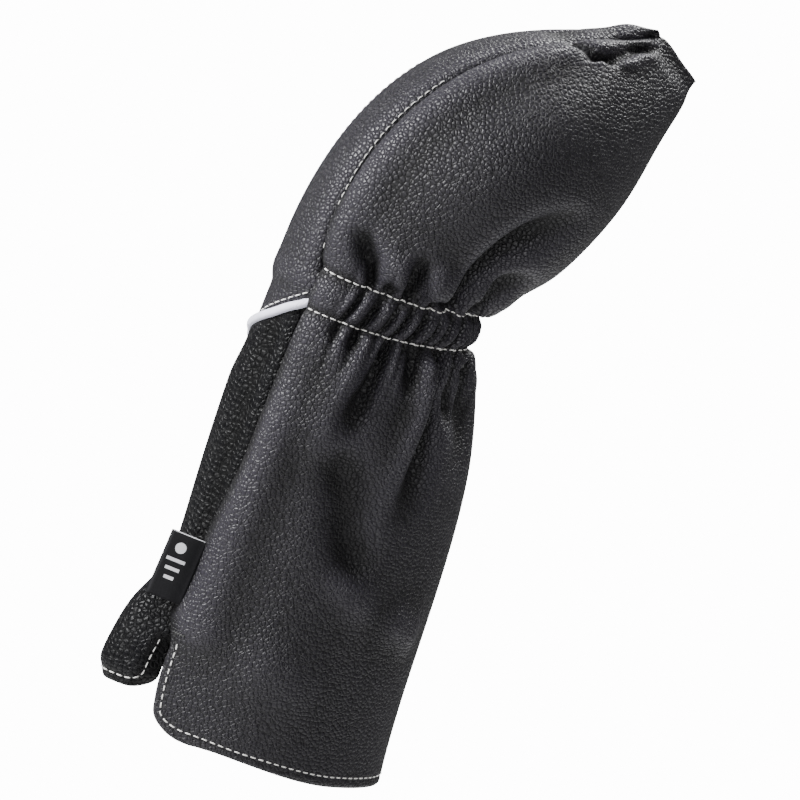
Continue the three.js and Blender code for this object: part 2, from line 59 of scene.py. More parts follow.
level = Vector((math.cos(VIEW_AZIMUTH), math.sin(VIEW_AZIMUTH), 0))
towards = Vector((
    math.sin(VIEW_AZIMUTH) * math.cos(VIEW_ELEVATION),
    -math.cos(VIEW_AZIMUTH) * math.cos(VIEW_ELEVATION),
    math.sin(VIEW_ELEVATION),
))
upright = towards.cross(level)
camera_right = level * math.cos(VIEW_ROLL) + upright * math.sin(VIEW_ROLL)
camera_up = upright * math.cos(VIEW_ROLL) - level * math.sin(VIEW_ROLL)
camera = bpy.data.objects.new("camera", bpy.data.cameras.new("camera"))
scene.collection.objects.link(camera)
camera.data.lens = LENS
camera.matrix_world = Matrix.Translation(VIEW_CENTRE + towards * VIEW_DISTANCE) @ Matrix((
    camera_right, camera_up, towards)).transposed().to_4x4()
scene.camera = camera

FLOOR_HEIGHT = -0.9
FLOOR_SIZE = 4.4
floor_mesh = bpy.data.meshes.new("floor")
half_floor = FLOOR_SIZE / 2
floor_mesh.from_pydata(
    [(-half_floor, -half_floor, FLOOR_HEIGHT), (half_floor, -half_floor, FLOOR_HEIGHT),
     (half_floor, half_floor, FLOOR_HEIGHT), (-half_floor, half_floor, FLOOR_HEIGHT)],
    [], [(0, 1, 2, 3)])
floor = bpy.data.objects.new("floor", floor_mesh)
scene.collection.objects.link(floor)
floor_finish = bpy.data.materials.new("floor")
floor_finish.use_nodes = True
floor_finish.node_tree.nodes["Principled BSDF"].inputs["Base Color"].default_value = (0.9, 0.9, 0.9, 1)
floor_finish.node_tree.nodes["Principled BSDF"].inputs["Roughness"].default_value = 0.9
floor_finish.node_tree.nodes["Principled BSDF"].inputs["Emission Color"].default_value = (1, 1, 1, 1)
floor_finish.node_tree.nodes["Principled BSDF"].inputs["Emission Strength"].default_value = 0.6
floor_mesh.materials.append(floor_finish)

world = bpy.data.worlds.new("studio")
world.use_nodes = True
world_nodes = world.node_tree.nodes
world_light = world_nodes["Background"]
world_light.inputs["Color"].default_value = (1, 1, 1, 1)
world_light.inputs["Strength"].default_value = 0.20
world_seen = world_nodes.new("ShaderNodeBackground")
world_seen.inputs["Color"].default_value = (1, 1, 1, 1)
world_seen.inputs["Strength"].default_value = 14.0
ray_kind = world_nodes.new("ShaderNodeLightPath")
world_mix = world_nodes.new("ShaderNodeMixShader")
world.node_tree.links.new(ray_kind.outputs["Is Camera Ray"], world_mix.inputs[0])
world.node_tree.links.new(world_light.outputs[0], world_mix.inputs[1])
world.node_tree.links.new(world_seen.outputs[0], world_mix.inputs[2])
world.node_tree.links.new(world_mix.outputs[0], world_nodes["World Output"].inputs["Surface"])
scene.world = world


def soft_box(name, offset, size, power):
    """An area lamp at offset = (right, up, towards) from the view's centre, in metres, that faces it."""
    lamp = bpy.data.objects.new(name, bpy.data.lights.new(name, "AREA"))
    scene.collection.objects.link(lamp)
    place = VIEW_CENTRE + camera_right * offset[0] + camera_up * offset[1] + towards * offset[2]
    lamp.location = place
    lamp.rotation_euler = (VIEW_CENTRE - place).to_track_quat("-Z", "Y").to_euler()
    lamp.data.shape = "RECTANGLE"
    lamp.data.size = size[0]
    lamp.data.size_y = size[1]
    lamp.data.energy = power


soft_box("key_box", (-0.95, 0.95, 0.65), (0.55, 0.45), 78)
soft_box("front_box", (0.3, 0.2, 1.5), (0.6, 0.6), 13)
soft_box("rim_box", (0.7, 1.0, -0.5), (0.7, 0.5), 34)

# ---------------------------------------------------------------------------------------------
# Front strip: one length of black grained leather from the piping down to the tongue, which
# hangs free between two vents, stands out from the mouth and has its rounded hem turned in.
# The strip is sunk between the puffed edges of the side panels and has a ridge down its middle.
# ---------------------------------------------------------------------------------------------
METRE = 0.001                      # shapes are worked out in millimetres

SKIRT_HEIGHT = 193.0               # mouth to the lower waist row, at the centre back
FRONT_ROW = 198.0                  # that row at the front strip
WAIST_MIDDLE = (-9.0, 203.625)     # forward-back place and height of the middle of the waist
HEAD_LENGTH = 168.0
HEAD_LEAN = math.radians(35.6)
CROWN = 71.0                       # crown strip from the head's axis
HEEL = 45.0                        # centre back from the head's axis
TIP = 38.0                         # length of the seam that closes the toe
WAIST_SAG = 4.0
SAG_SPREAD = 0.6
FRONT_FULLNESS = 0.12
FLARE = (82.0, 18.0, 21.0, 21.0)   # top, hem, how far out and how far round the tongue stands out


def head_point(along, front):
    """A point (y, z) of the head's middle plane, along its leaning axis and in front of it."""
    return (WAIST_MIDDLE[0] + along * math.sin(HEAD_LEAN) - front * math.cos(HEAD_LEAN),
            WAIST_MIDDLE[1] + along * math.cos(HEAD_LEAN) + front * math.sin(HEAD_LEAN))


FRONT_LINE = np.array([
    [(-59, 0), (-62, SKIRT_HEIGHT / 3), (-64, SKIRT_HEIGHT * 0.7), (-58, FRONT_ROW)],
    [(-58, FRONT_ROW), (-58, FRONT_ROW + 6.17), (-57, FRONT_ROW + 12.95), (-56, 216.5)],
    [(-56, 216.5), head_point(0.29 * HEAD_LENGTH, 1.16 * CROWN),
     head_point(0.69 * HEAD_LENGTH, 0.93 * CROWN), head_point(HEAD_LENGTH, 0.45 * TIP)]])
BACK_LINE = np.array([
    [(59, 0), (53, SKIRT_HEIGHT * 0.3), (70, SKIRT_HEIGHT * 0.74), (40, SKIRT_HEIGHT)],
    [(40, SKIRT_HEIGHT), (38.5, SKIRT_HEIGHT + 4.67), (38.5, SKIRT_HEIGHT + 9.8), (40, 207)],
    [(40, 207), head_point(0.42 * HEAD_LENGTH, -1.29 * HEEL),
     head_point(0.69 * HEAD_LENGTH, -0.84 * HEEL), head_point(HEAD_LENGTH, -0.55 * TIP)]])
HALF_WIDTHS = np.array([(38, 38, 43, 33), (33, 32, 32, 33), (33, 54.56, 54.56, 1.6)])
ZONES = 3                          # skirt, waist band and head: s runs through one unit in each


def bezier(points, t):
    """Cubic Bezier value at t, for rows of four numbers."""
    r = 1 - t
    return (r ** 3 * points[..., 0] + 3 * t * r * r * points[..., 1]
            + 3 * t * t * r * points[..., 2] + t ** 3 * points[..., 3])


def smooth(t):
    """Smooth step: 0 below 0, 1 above 1."""
    t = np.clip(t, 0, 1)
    return t * t * (3 - 2 * t)


def bell(t):
    """Bell curve: 1 at 0 and close to 0 past 2."""
    return np.exp(-t * t)


def section_point(s, turn):
    """Half an oval at height s: from the centre front at turn 0 round the side to the back at pi.
    Sideways it is half the width times the sine; front to back it slides from line to line."""
    zone = np.clip(np.floor(s), 0, ZONES - 1).astype(int)
    t = s - zone
    share = (1 - np.cos(turn)) / 2
    x = bezier(HALF_WIDTHS[zone], t) * np.sin(turn) * (1 + FRONT_FULLNESS * np.cos(turn))
    ends = [(bezier(FRONT_LINE[zone][..., k], t), bezier(BACK_LINE[zone][..., k], t)) for k in (0, 1)]
    y = ends[0][0] + (ends[0][1] - ends[0][0]) * share
    z = ends[1][0] + (ends[1][1] - ends[1][0]) * share
    z = z - WAIST_SAG * np.sin(turn) ** 2 * bell((s - 1.5) / SAG_SPREAD)
    return np.stack([x, y, z], -1)


# Table of the oval's turn by height and by share of the arc length round it
S_STEPS = 600
F_STEPS = 200
table_s = np.linspace(0, ZONES, S_STEPS + 1)
table_turn = np.linspace(0, np.pi, F_STEPS + 1)
table_points = section_point(table_s[:, None] + 0 * table_turn, table_turn + 0 * table_s[:, None])
table_arcs = np.zeros((S_STEPS + 1, F_STEPS + 1))
table_arcs[:, 1:] = np.cumsum(np.linalg.norm(np.diff(table_points, axis=1), axis=-1), axis=1)
table_girth = table_arcs[:, -1]
even_share = np.linspace(0, 1, F_STEPS + 1)
table_share = np.array([
    np.interp(even_share * arcs[-1], arcs, table_turn) for arcs in table_arcs])


def half_girth(s):
    """Arc length from the centre front to the centre back at s."""
    return np.interp(s, table_s, table_girth)


def face_point(s, a):
    """The cover's smooth outer face at s and arc length a from the centre front, right side plus."""
    s = np.clip(s, 0, ZONES)
    row = s / ZONES * S_STEPS
    column = np.clip(np.abs(a) / half_girth(s), 0, 1) * F_STEPS
    i = np.clip(row.astype(int), 0, S_STEPS - 1)
    j = np.clip(column.astype(int), 0, F_STEPS - 1)
    u = row - i
    v = column - j
    turn = ((table_share[i, j] * (1 - v) + table_share[i, j + 1] * v) * (1 - u)
            + (table_share[i + 1, j] * (1 - v) + table_share[i + 1, j + 1] * v) * u)
    p = section_point(s, turn)
    p[..., 0] *= np.where(a < 0, -1, 1)
    top, hem, out, spread = FLARE
    p[..., 1] -= out * smooth((top - p[..., 2]) / (top - hem)) * bell(a / spread)
    return p


def face_normal(s, a):
    """Outward normal: the step round the cover crossed with the step up it."""
    s0 = np.clip(s - 0.01, 0, ZONES)
    s1 = np.clip(s + 0.01, 0, ZONES)
    limit = half_girth(s) - 0.8
    middle = np.clip(a, -limit, limit)
    up = face_point(s1, middle) - face_point(s0, middle)
    round_it = face_point(s, middle + 0.6) - face_point(s, middle - 0.6)
    n = np.cross(round_it, up)
    return n / np.maximum(np.linalg.norm(n, axis=-1, keepdims=True), 1e-9)


LOWER_ROW_UP = 193                 # length up the cover from the mouth to the lower waist row
UPPER_ROW_UP = 209                 # to the upper row
TOE_UP = 399                       # and to the toe
BAND_MIDDLE_UP = (LOWER_ROW_UP + UPPER_ROW_UP) / 2


def run_length(s):
    """Length up the cover's side, in millimetres, for s."""
    return np.interp(s, [0, 1, 2, 3], [0, LOWER_ROW_UP, UPPER_ROW_UP, TOE_UP])


def fold(s, a, path, width, height, ends=(0.12, 0.12)):
    """A ridge, or with a height below 0 a groove, along a smooth path of (s, a) knots.
    Its height falls off as a bell curve of the distance from the path, and fades at the ends."""
    knots = np.array(path, float)
    points = np.stack([run_length(knots[:, 0]), knots[:, 1]], -1)
    reach = np.concatenate([[0], np.cumsum(np.linalg.norm(np.diff(points, axis=0), axis=1))])
    reach /= reach[-1]
    fine = np.linspace(0, 1, 33)
    line = np.stack([np.interp(fine, reach, points[:, k]) for k in (0, 1)], -1)
    for _ in range(3):
        line[1:-1] = (line[:-2] + 2 * line[1:-1] + line[2:]) / 4
    here = np.stack([run_length(s), a], -1)
    widths = np.interp(fine, np.linspace(0, 1, len(np.atleast_1d(width))), np.atleast_1d(width))
    best = np.full(s.shape, 1e9)
    along = np.zeros(s.shape)
    for k in range(32):
        step = line[k + 1] - line[k]
        t = np.clip(((here - line[k]) @ step) / (step @ step), 0, 1)
        far = np.linalg.norm(here - line[k] - t[..., None] * step, axis=-1)
        far = far / (widths[k] + (widths[k + 1] - widths[k]) * t)
        along = np.where(far < best, (k + t) / 32, along)
        best = np.minimum(far, best)
    fade = smooth(along / max(ends[0], 1e-3)) * smooth((1 - along) / max(ends[1], 1e-3))
    return height * bell(best) * fade


VENT_TOP = 44.0
STRIP_SKIRT = (38, 38, 48, 50)     # the strip's width from the mouth up to the waist
STRIP_HEAD = (25, 8, 26, 2.4)      # half its width from the waist to the toe


def strip_half(s):
    """Half of the front and crown strip's width at s."""
    low = bezier(np.array(STRIP_SKIRT, float), np.clip(s, 0, 1)) / 2
    high = bezier(np.array(STRIP_HEAD, float), np.clip(s - 2, 0, 1))
    return np.where(s <= 1, low, np.where(s <= 2, STRIP_HEAD[0], high))


def seam_overhang(s):
    """How far the side panel's puffed edge hangs over the strip: most just above the vents."""
    z = s * SKIRT_HEIGHT
    low = 6.5 * smooth((z - 40) / 18) * smooth((132 - z) / 60)
    return np.where(s < 1, low, 0)


def strip_relief(s, a):
    """Height of the strip over the smooth face: a ridge along it and a sunk edge at each seam."""
    edge = strip_half(s) - np.abs(a)
    height = -2.6 * bell(edge / 4.5) - 1.0 * smooth((s - 0.25) / 0.25) - 1.8 * smooth((s - 0.78) / 0.1)
    skirt = smooth((1.0 - s) / 0.1)
    height = height + skirt * 0.6 * bell((a + 5) / 7)
    height = height - skirt * 3.0 * bell((a - 12) / 6) * smooth((s - 0.2) / 0.1)
    height = height - skirt * 1.2 * bell((a + 15) / 5) * smooth((s - 0.2) / 0.1)
    z = s * SKIRT_HEIGHT
    height = height + (3.4 * bell((z - 50) / 15) + 0.6 * bell((z - 31) / 9)) * bell((a + 2) / 13)
    height = height - 3.0 * smooth((27 - z) / 9) - 3.0 * smooth((a - 13) / 5) * smooth((46 - z) / 6)
    return height


def grid(rows, columns):
    """Two arrays for a grid: the row values down it and the column shares from 0 to 1 across it."""
    across = np.linspace(0, 1, columns)
    return np.repeat(rows[:, None], columns, 1), np.repeat(across[None, :], len(rows), 0)


def put_mesh(name, points, faces, look, smooth_faces=True):
    """A new object at the origin from points in millimetres and an array of faces."""
    mesh = bpy.data.meshes.new(name)
    points = np.asarray(points, float).reshape(-1, 3) * METRE
    faces = np.asarray(faces, int)
    mesh.vertices.add(len(points))
    mesh.vertices.foreach_set("co", points.ravel())
    mesh.loops.add(faces.size)
    mesh.loops.foreach_set("vertex_index", faces.ravel())
    mesh.polygons.add(len(faces))
    mesh.polygons.foreach_set("loop_start", np.arange(len(faces)) * faces.shape[1])
    mesh.polygons.foreach_set("use_smooth", np.full(len(faces), smooth_faces))
    mesh.update(calc_edges=True)
    mesh.validate()
    mesh.materials.append(look)
    piece = bpy.data.objects.new(name, mesh)
    scene.collection.objects.link(piece)
    return piece


def shell(name, outer, inner, look, relief_shade=None):
    """A closed sheet between two grids of points: both faces and a rim round their edge."""
    rows, columns = outer.shape[:2]
    index = np.arange(rows * columns).reshape(rows, columns)
    back = index + rows * columns
    quads = [
        np.stack([index[:-1, :-1], index[:-1, 1:], index[1:, 1:], index[1:, :-1]], -1),
        np.stack([back[:-1, :-1], back[1:, :-1], back[1:, 1:], back[:-1, 1:]], -1),
        np.stack([index[0, :-1], back[0, :-1], back[0, 1:], index[0, 1:]], -1),
        np.stack([index[-1, :-1], index[-1, 1:], back[-1, 1:], back[-1, :-1]], -1),
        np.stack([index[:-1, 0], index[1:, 0], back[1:, 0], back[:-1, 0]], -1),
        np.stack([index[:-1, -1], back[:-1, -1], back[1:, -1], index[1:, -1]], -1)]
    faces = np.concatenate([q.reshape(-1, 4) for q in quads])
    piece = put_mesh(name, np.concatenate([outer.reshape(-1, 3), inner.reshape(-1, 3)]), faces, look)
    # this per-point attribute carries painted shade into the leather's colour: darker in the folds' grooves,
    # lighter on their ridges
    if relief_shade is not None:
        attribute = piece.data.attributes.new("relief_shade", "FLOAT", "POINT")
        attribute.data.foreach_set("value", np.tile(relief_shade.ravel(), 2).astype(np.float32))
    return piece


# its values paint shade into the leather's colour, darker in grooves and lighter on ridges
def local_relief(height, reach=5):
    """How far each place stands above its neighbourhood, from -1 in a groove to 1 on a ridge."""
    padded = np.pad(height, reach, mode="edge")
    total = np.zeros_like(height)
    for dy in range(0, 2 * reach + 1, reach):
        for dx in range(0, 2 * reach + 1, reach):
            total += padded[dy:dy + height.shape[0], dx:dx + height.shape[1]]
    return np.clip((height - total / 9) / 1.2, -1, 1)


class Tie:
    """A socket of a material's graph. Sums, products and powers of ties add Math nodes."""

    def __init__(self, look, socket):
        self.look = look
        self.socket = socket

    def maths(self, operation, *values):
        """Adds a Math node that works on the given values or ties."""
        inputs = {k: value for k, value in enumerate(values)}
        return self.look.node("ShaderNodeMath", {"operation": operation}, inputs)

    def __add__(self, other):
        return self.maths("ADD", self, other)

    def __radd__(self, other):
        return self.maths("ADD", other, self)

    def __sub__(self, other):
        return self.maths("SUBTRACT", self, other)

    def __rsub__(self, other):
        return self.maths("SUBTRACT", other, self)

    def __mul__(self, other):
        return self.maths("MULTIPLY", self, other)

    def __rmul__(self, other):
        return self.maths("MULTIPLY", other, self)

    def __pow__(self, other):
        return self.maths("POWER", self, other)

    def lowest(self, other):
        return self.maths("MINIMUM", self, other)

    def highest(self, other):
        """The larger of this tie and another value, place by place."""
        return self.maths("MAXIMUM", self, other)


class Look:
    """A material: its nodes are added one by one and end in a Principled shader."""

    def __init__(self, name):
        self.material = bpy.data.materials.new(name)
        self.material.use_nodes = True
        self.tree = self.material.node_tree
        self.shader = self.tree.nodes["Principled BSDF"]

    def node(self, kind, settings=None, inputs=None, out=0):
        """Adds a node, sets its settings, then fills its sockets with values or ties."""
        node = self.tree.nodes.new(kind)
        for key, value in (settings or {}).items():
            setattr(node, key, value)
        for key, value in (inputs or {}).items():
            self.fill(node.inputs[key], value)
        return Tie(self, node.outputs[out])

    def fill(self, socket, value):
        """Links a tie to a socket, or sets the socket to a plain value."""
        if isinstance(value, Tie):
            self.tree.links.new(value.socket, socket)
        else:
            socket.default_value = value

    def blend_colours(self, share, first, second):
        """A colour between the first and the second, by a share from 0 to 1."""
        inputs = {0: share, 6: first, 7: second}
        return self.node("ShaderNodeMix", {"data_type": "RGBA"}, inputs, 2)

    def shade(self, **sockets):
        """Fills the Principled shader's sockets; an underscore in a key stands for a space."""
        for key, value in sockets.items():
            self.fill(self.shader.inputs[key.replace("_", " ")], value)
        return self.material


def leather(name, groove, crown, pebble, dull, shine, depth, gleam):
    """Pebble-grained leather: rounded pebbles parted by grooves, with fine pores on them.
    Ridges of the folds are worn a little smoother; painted shade makes the folds' grooves darker and their
    ridges a little lighter in colour."""
    look = Look(name)
    place = look.node("ShaderNodeTexCoord", out="Object")
    wobble = look.node("ShaderNodeTexNoise", None, {"Vector": place, "Scale": 420, "Detail": 2}, "Color")
    bent = look.node("ShaderNodeVectorMath", {"operation": "MULTIPLY_ADD"},
                     {0: wobble, 1: (0.0006, 0.0006, 0.0006), 2: place})
    spots = {"Vector": bent, "Scale": 1 / pebble, "Randomness": 0.85}
    middle = look.node("ShaderNodeTexVoronoi", {"feature": "F1"}, spots)
    border = look.node("ShaderNodeTexVoronoi", {"feature": "DISTANCE_TO_EDGE"}, spots)
    slope = (border * 3.6).lowest(1.0)
    dome = (slope * (2 - slope) * 0.6 + (1 - middle * middle * 1.6) * 0.4).highest(0.0)
    pores = look.node("ShaderNodeTexNoise", None, {"Vector": place, "Scale": 2600, "Detail": 3})
    cloud = look.node("ShaderNodeTexNoise", None, {"Vector": place, "Scale": 34, "Detail": 3})
    relief_shade = look.node("ShaderNodeAttribute", {"attribute_name": "relief_shade"}, None, "Fac")
    # painted shade: the folds' relief darkens the colour in their grooves and lightens it on their ridges
    share = (dome * 0.55 + pores * 0.15 + cloud * 0.3 + relief_shade * 0.55 - 0.12).highest(0.0).lowest(1.0)
    colour = look.blend_colours(share, groove, crown)
    bump = look.node("ShaderNodeBump", None,
                     {"Strength": 1.0, "Distance": depth, "Height": dome + pores * 0.25})
    roughness = dull - dome * (dull - shine) + cloud * 0.12 - relief_shade * 0.06
    return look.shade(Base_Color=colour, Roughness=roughness, Normal=bump,
                      Specular_IOR_Level=gleam)


black_leather = leather("black_leather", (0.0006, 0.0006, 0.0008, 1), (0.0030, 0.0030, 0.0038, 1),
                        0.00230, 0.54, 0.28, 0.00055, 0.15)
charcoal_leather = leather("charcoal_leather", (0.0020, 0.0018, 0.0025, 1), (0.0200, 0.0184, 0.0240, 1),
                           0.00185, 0.58, 0.31, 0.00048, 0.31)

LEATHER = 1.4
HEM_TURN = 12.0
TONGUE_LIFT = 18.0
TONGUE_CORNER = 9.0
TONGUE_HALF = 19.6
PIPING_HEIGHT = 184.6
PIPING_CLIMB = 0.58


def s_for_height(z, a):
    """s of the place at arc length a where the face has height z, found by halving the range."""
    low = np.zeros(np.shape(a))
    high = np.full(np.shape(a), 2.3)
    for _ in range(26):
        middle = (low + high) / 2
        below = face_point(middle, a)[..., 2] < z
        low = np.where(below, middle, low)
        high = np.where(below, high, middle)
    return (low + high) / 2


def tongue_half(z):
    """Half the tongue's width at height z, with its lower corners rounded."""
    drop = np.clip(TONGUE_CORNER - (z - TONGUE_LIFT), 0, TONGUE_CORNER)
    corner = TONGUE_CORNER - np.sqrt(TONGUE_CORNER ** 2 - drop ** 2)
    return TONGUE_HALF - corner


def strip_edge(z):
    """Half the black strip's width at height z: the tongue's below the vents, the seam's above."""
    seam = strip_half(z / SKIRT_HEIGHT) + 2.0
    return np.where(z < VENT_TOP, tongue_half(z) + 2.0 * smooth((z - 30) / 14), seam)


def front_place(s, a, depth):
    """A point of the black strip at s and a, at a depth under its surface."""
    return face_point(s, a) + face_normal(s, a) * (strip_relief(s, a) - depth)[..., None]


strip_levels = np.concatenate([
    TONGUE_LIFT + 9.0 * (1 - np.cos(np.linspace(0, np.pi / 2, 12))),
    np.linspace(28.0, 200.0, 118)])
strip_z, strip_share = grid(strip_levels, 36)
strip_a = (2 * strip_share - 1) * strip_edge(strip_z)
strip_top = np.minimum(PIPING_HEIGHT + PIPING_CLIMB * strip_a + 1.0, 201.0)
strip_z = TONGUE_LIFT + (strip_z - TONGUE_LIFT) * (strip_top - TONGUE_LIFT) / (200.0 - TONGUE_LIFT)
strip_s = s_for_height(strip_z, strip_a)
free_edge = np.minimum(strip_edge(strip_z) - np.abs(strip_a), strip_z - TONGUE_LIFT)
free_edge = np.where(strip_z < VENT_TOP, free_edge, 9.0)
turned = smooth((HEM_TURN - (strip_z - TONGUE_LIFT)) / 1.5)
roll = 0.9 * np.exp(-free_edge / 0.8) + 0.35 * bell((free_edge - 4.0) / 0.9)
front_strip = shell(
    "front_strip_leather",
    front_place(strip_s, strip_a, roll),
    front_place(strip_s, strip_a, LEATHER + LEATHER * turned - 0.5 * np.exp(-free_edge / 0.8)),
    black_leather, local_relief(strip_relief(strip_s, strip_a)))
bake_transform(front_strip)
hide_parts("front_strip", "tongue_fold", "tongue")

# ---------------------------------------------------------------------------------------------
# Crown strip: charcoal leather from the piping over the front of the waist and the crown to the
# toe. It is sunk between the side panels and ends in a small stiff crest at the toe's tip.
# ---------------------------------------------------------------------------------------------


TOE_DROP = 10.0
HEAD_FORWARD = np.array([0, -math.cos(HEAD_LEAN), math.sin(HEAD_LEAN)])


def crown_relief(s, a):
    """Height of the crown strip over the smooth face: sunk seams and a slight swell between."""
    edge = strip_half(s) - np.abs(a)
    sunk = (1.2 + 3.0 * smooth(a / 4)) * smooth((s - 1.6) / 0.5) + 0.9
    height = -sunk * np.exp(-np.clip(edge, 0, None) / 3.0)
    height = height - 3.8 * smooth((s - 0.75) / 0.15) * smooth((1.6 - s) / 0.5)
    height = height - 1.6 * smooth((s - 1.2) / 0.4) * smooth((2.45 - s) / 0.45)
    height = height + 0.9 * bell((s - 2.42) / 0.2)
    height = height + 2.0 * bell((s - 2.93) / 0.035) - 2.0 * bell((s - 2.79) / 0.04)
    return height


def toe_drop(s, a):
    """The toe's front is pressed back towards the heel: how far, as a vector, at s and a."""
    return (TOE_DROP * smooth((s - 2.5) / 0.45) * bell(a / 26))[..., None] * HEAD_FORWARD


def crown_place(s, a, depth):
    """A point of the crown strip at s and a, at a depth under its surface."""
    p = face_point(s, a) + face_normal(s, a) * (crown_relief(s, a) - depth)[..., None]
    return p - toe_drop(s, a)


CROWN_END = 2.996
crown_rows = np.concatenate([np.linspace(0.0, 1.0, 22)[:-1], np.linspace(1.0, 2.0, 10)[:-1],
                             np.linspace(2.0, CROWN_END, 110)])
crown_row, crown_share = grid(crown_rows, 34)
crown_under = np.where(crown_row > 2.7, 0.3, 1.6)   # how far it goes in under the side panels
crown_a = (2 * crown_share - 1) * (strip_half(np.maximum(crown_row, 0.9)) + crown_under)
piping_s = s_for_height(PIPING_HEIGHT + PIPING_CLIMB * crown_a + 1.2, crown_a)
crown_s = np.where(crown_row < 1, piping_s + (1.3 - piping_s) * crown_row, 1.3 + (crown_row - 1) * 0.7)
crown_s = np.where(crown_row > 2, crown_row, crown_s)
crown_strip = shell(
    "crown_strip_leather",
    crown_place(crown_s, crown_a, 0),
    crown_place(crown_s, crown_a, LEATHER),
    charcoal_leather, local_relief(crown_relief(crown_s, crown_a)))
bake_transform(crown_strip)
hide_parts("waist_strip", "crown_strip")

# ---------------------------------------------------------------------------------------------
# Side panels: each one piece of charcoal leather from the mouth to the toe, drawn in at the
# waist by the elastic sewn behind it, so that it pleats between two rows of stitches and falls
# in folds above and below. Its front edge puffs over the strip's seam; its hem is turned in.
# ---------------------------------------------------------------------------------------------
FIRST_PLEAT = 42.0                 # arc length of the first pleat's groove at the lower row
PLEAT_PITCH = 7.9
PLEAT_SLANT = 5.0                  # how far the pleats lean towards the back across the band
VENT_GAP = 2.4
VENT_CORNER = 12.0
FOLD_DEPTH = 1.6                   # all the folds' heights below are deepened by this


def side_edge(s):
    """Arc length of the side panel's front edge: the strip's seam, or the vent's side below it."""
    z = s * SKIRT_HEIGHT
    drop = np.clip(VENT_CORNER - z, 0, VENT_CORNER)
    corner = VENT_CORNER - np.sqrt(VENT_CORNER ** 2 - drop ** 2)
    vent = VENT_GAP * np.clip(1 - z / VENT_TOP, 0, 1) + corner
    return strip_half(s) + 0.2 + vent


def pleats(s, a, shift):
    """Pleats of the waist: round ridges parted by narrow grooves, strongest between the rows."""
    lean = PLEAT_SLANT * np.clip(s - 1, -0.3, 1.3)
    count = (a - FIRST_PLEAT - shift - lean) / PLEAT_PITCH
    count = count + 0.13 * np.sin(2.1 * count + 1.0 + shift)
    ridge = np.abs(np.sin(np.pi * count)) ** 0.55
    uneven = 0.88 + 0.25 * np.sin(1.9 * count + 0.8 + shift)
    start = smooth((a - FIRST_PLEAT - shift + 4) / 5)
    up = run_length(s)
    above = np.clip(up - UPPER_ROW_UP, 0, None)
    below = np.clip(LOWER_ROW_UP - up, 0, None)
    reach = np.exp(-above / 8) * np.exp(-below / 11)
    return 8.2 * uneven * start * reach * (ridge - 0.74)


# Each fold: points (s, arc length) of its path, its half widths in mm along it, its height in mm,
# below 0 for a groove, and the shares of its length over which its two ends fade.
RIGHT_FOLDS = [
    # below the waist
    ([(1.00, 66.5), (0.92, 65), (0.86, 63.3), (0.79, 61), (0.72, 60)], (3, 5, 9), -5.0, (0.01, 0.5)),
    ([(1.00, 77.5), (0.95, 79.5), (0.91, 81), (0.86, 82)], (3, 5), -3.6, (0.01, 0.6)),
    ([(1.00, 92.5), (0.92, 97), (0.835, 101.6), (0.71, 102.5), (0.615, 101), (0.53, 97)],
     (2.6, 4.5, 8, 10), -7.0, (0.01, 0.6)),
    ([(0.99, 86), (0.92, 88.5), (0.835, 92), (0.71, 92), (0.615, 90), (0.54, 88)],
     (4, 6, 7, 8), 3.4, (0.1, 0.6)),
    ([(1.00, 103.4), (0.907, 108), (0.84, 112.5), (0.78, 119)], (2.4, 4, 6), -5.0, (0.01, 0.5)),
    ([(0.98, 115), (0.9, 120), (0.8, 127), (0.66, 130)], (4, 8, 12), -4.0, (0.1, 0.6)),
    ([(1.00, 42), (0.975, 41), (0.94, 38)], (3, 5), -1.6, (0.01, 0.7)),
    ([(1.00, 50.5), (0.97, 50), (0.93, 48)], (3, 5), -1.8, (0.01, 0.7)),
    ([(0.97, 55), (0.88, 54), (0.76, 52), (0.62, 50)], (8, 13), 2.6, (0.3, 0.5)),
    ([(0.76, 60), (0.69, 65), (0.615, 73), (0.55, 77), (0.47, 86), (0.42, 93)], (8, 11, 8), -4.0, (0.3, 0.3)),
    ([(0.50, 72), (0.44, 82), (0.385, 95), (0.36, 108)], (7, 9), 1.6, (0.4, 0.5)),
    ([(0.40, 104), (0.36, 122), (0.34, 138)], (8, 10), 2.0, (0.4, 0.4)),
    ([(0.30, 40), (0.22, 60), (0.16, 90)], (14, 16), 1.6, (0.4, 0.4)),
    # above the waist
    ([(2.00, 48.6), (2.02, 48.2), (2.05, 45), (2.09, 38), (2.115, 30)], (2.5, 4.5, 5.5), -5.0, (0.01, 0.5)),
    ([(2.00, 57), (2.02, 56.8), (2.045, 56)], (3, 4), -2.4, (0.01, 0.6)),
    ([(2.00, 66), (2.06, 65.6), (2.10, 65), (2.145, 64.4)], (2.4, 4.4), -5.4, (0.01, 0.5)),
    ([(2.00, 77.5), (2.03, 78.5), (2.07, 79)], (3, 5), -2.0, (0.01, 0.7)),
    ([(2.00, 87), (2.025, 89.4), (2.11, 94.5), (2.22, 100), (2.35, 106), (2.43, 108), (2.52, 109)],
     (5, 8, 10, 10), -10.0, (0.01, 0.5)),
    ([(2.00, 103), (2.06, 109), (2.14, 113), (2.27, 124)], (4, 8), -5.5, (0.01, 0.5)),
    ([(2.02, 58), (2.07, 56), (2.13, 55)], (4, 6), 2.2, (0.3, 0.6)),
    ([(2.02, 76), (2.07, 77), (2.16, 80)], (6, 10), 2.4, (0.3, 0.6)),
    # at the toe
    ([(2.76, 15), (2.785, 22), (2.80, 31)], (3.5, 4.5), -2.8, (0.3, 0.1)),
    ([(2.795, 32), (2.86, 25), (2.91, 18), (2.965, 14)], (3.5, 3.5), -3.4, (0.15, 0.2)),
    ([(2.82, 36), (2.88, 28), (2.94, 22)], (5, 5), 1.4, (0.3, 0.3)),
]
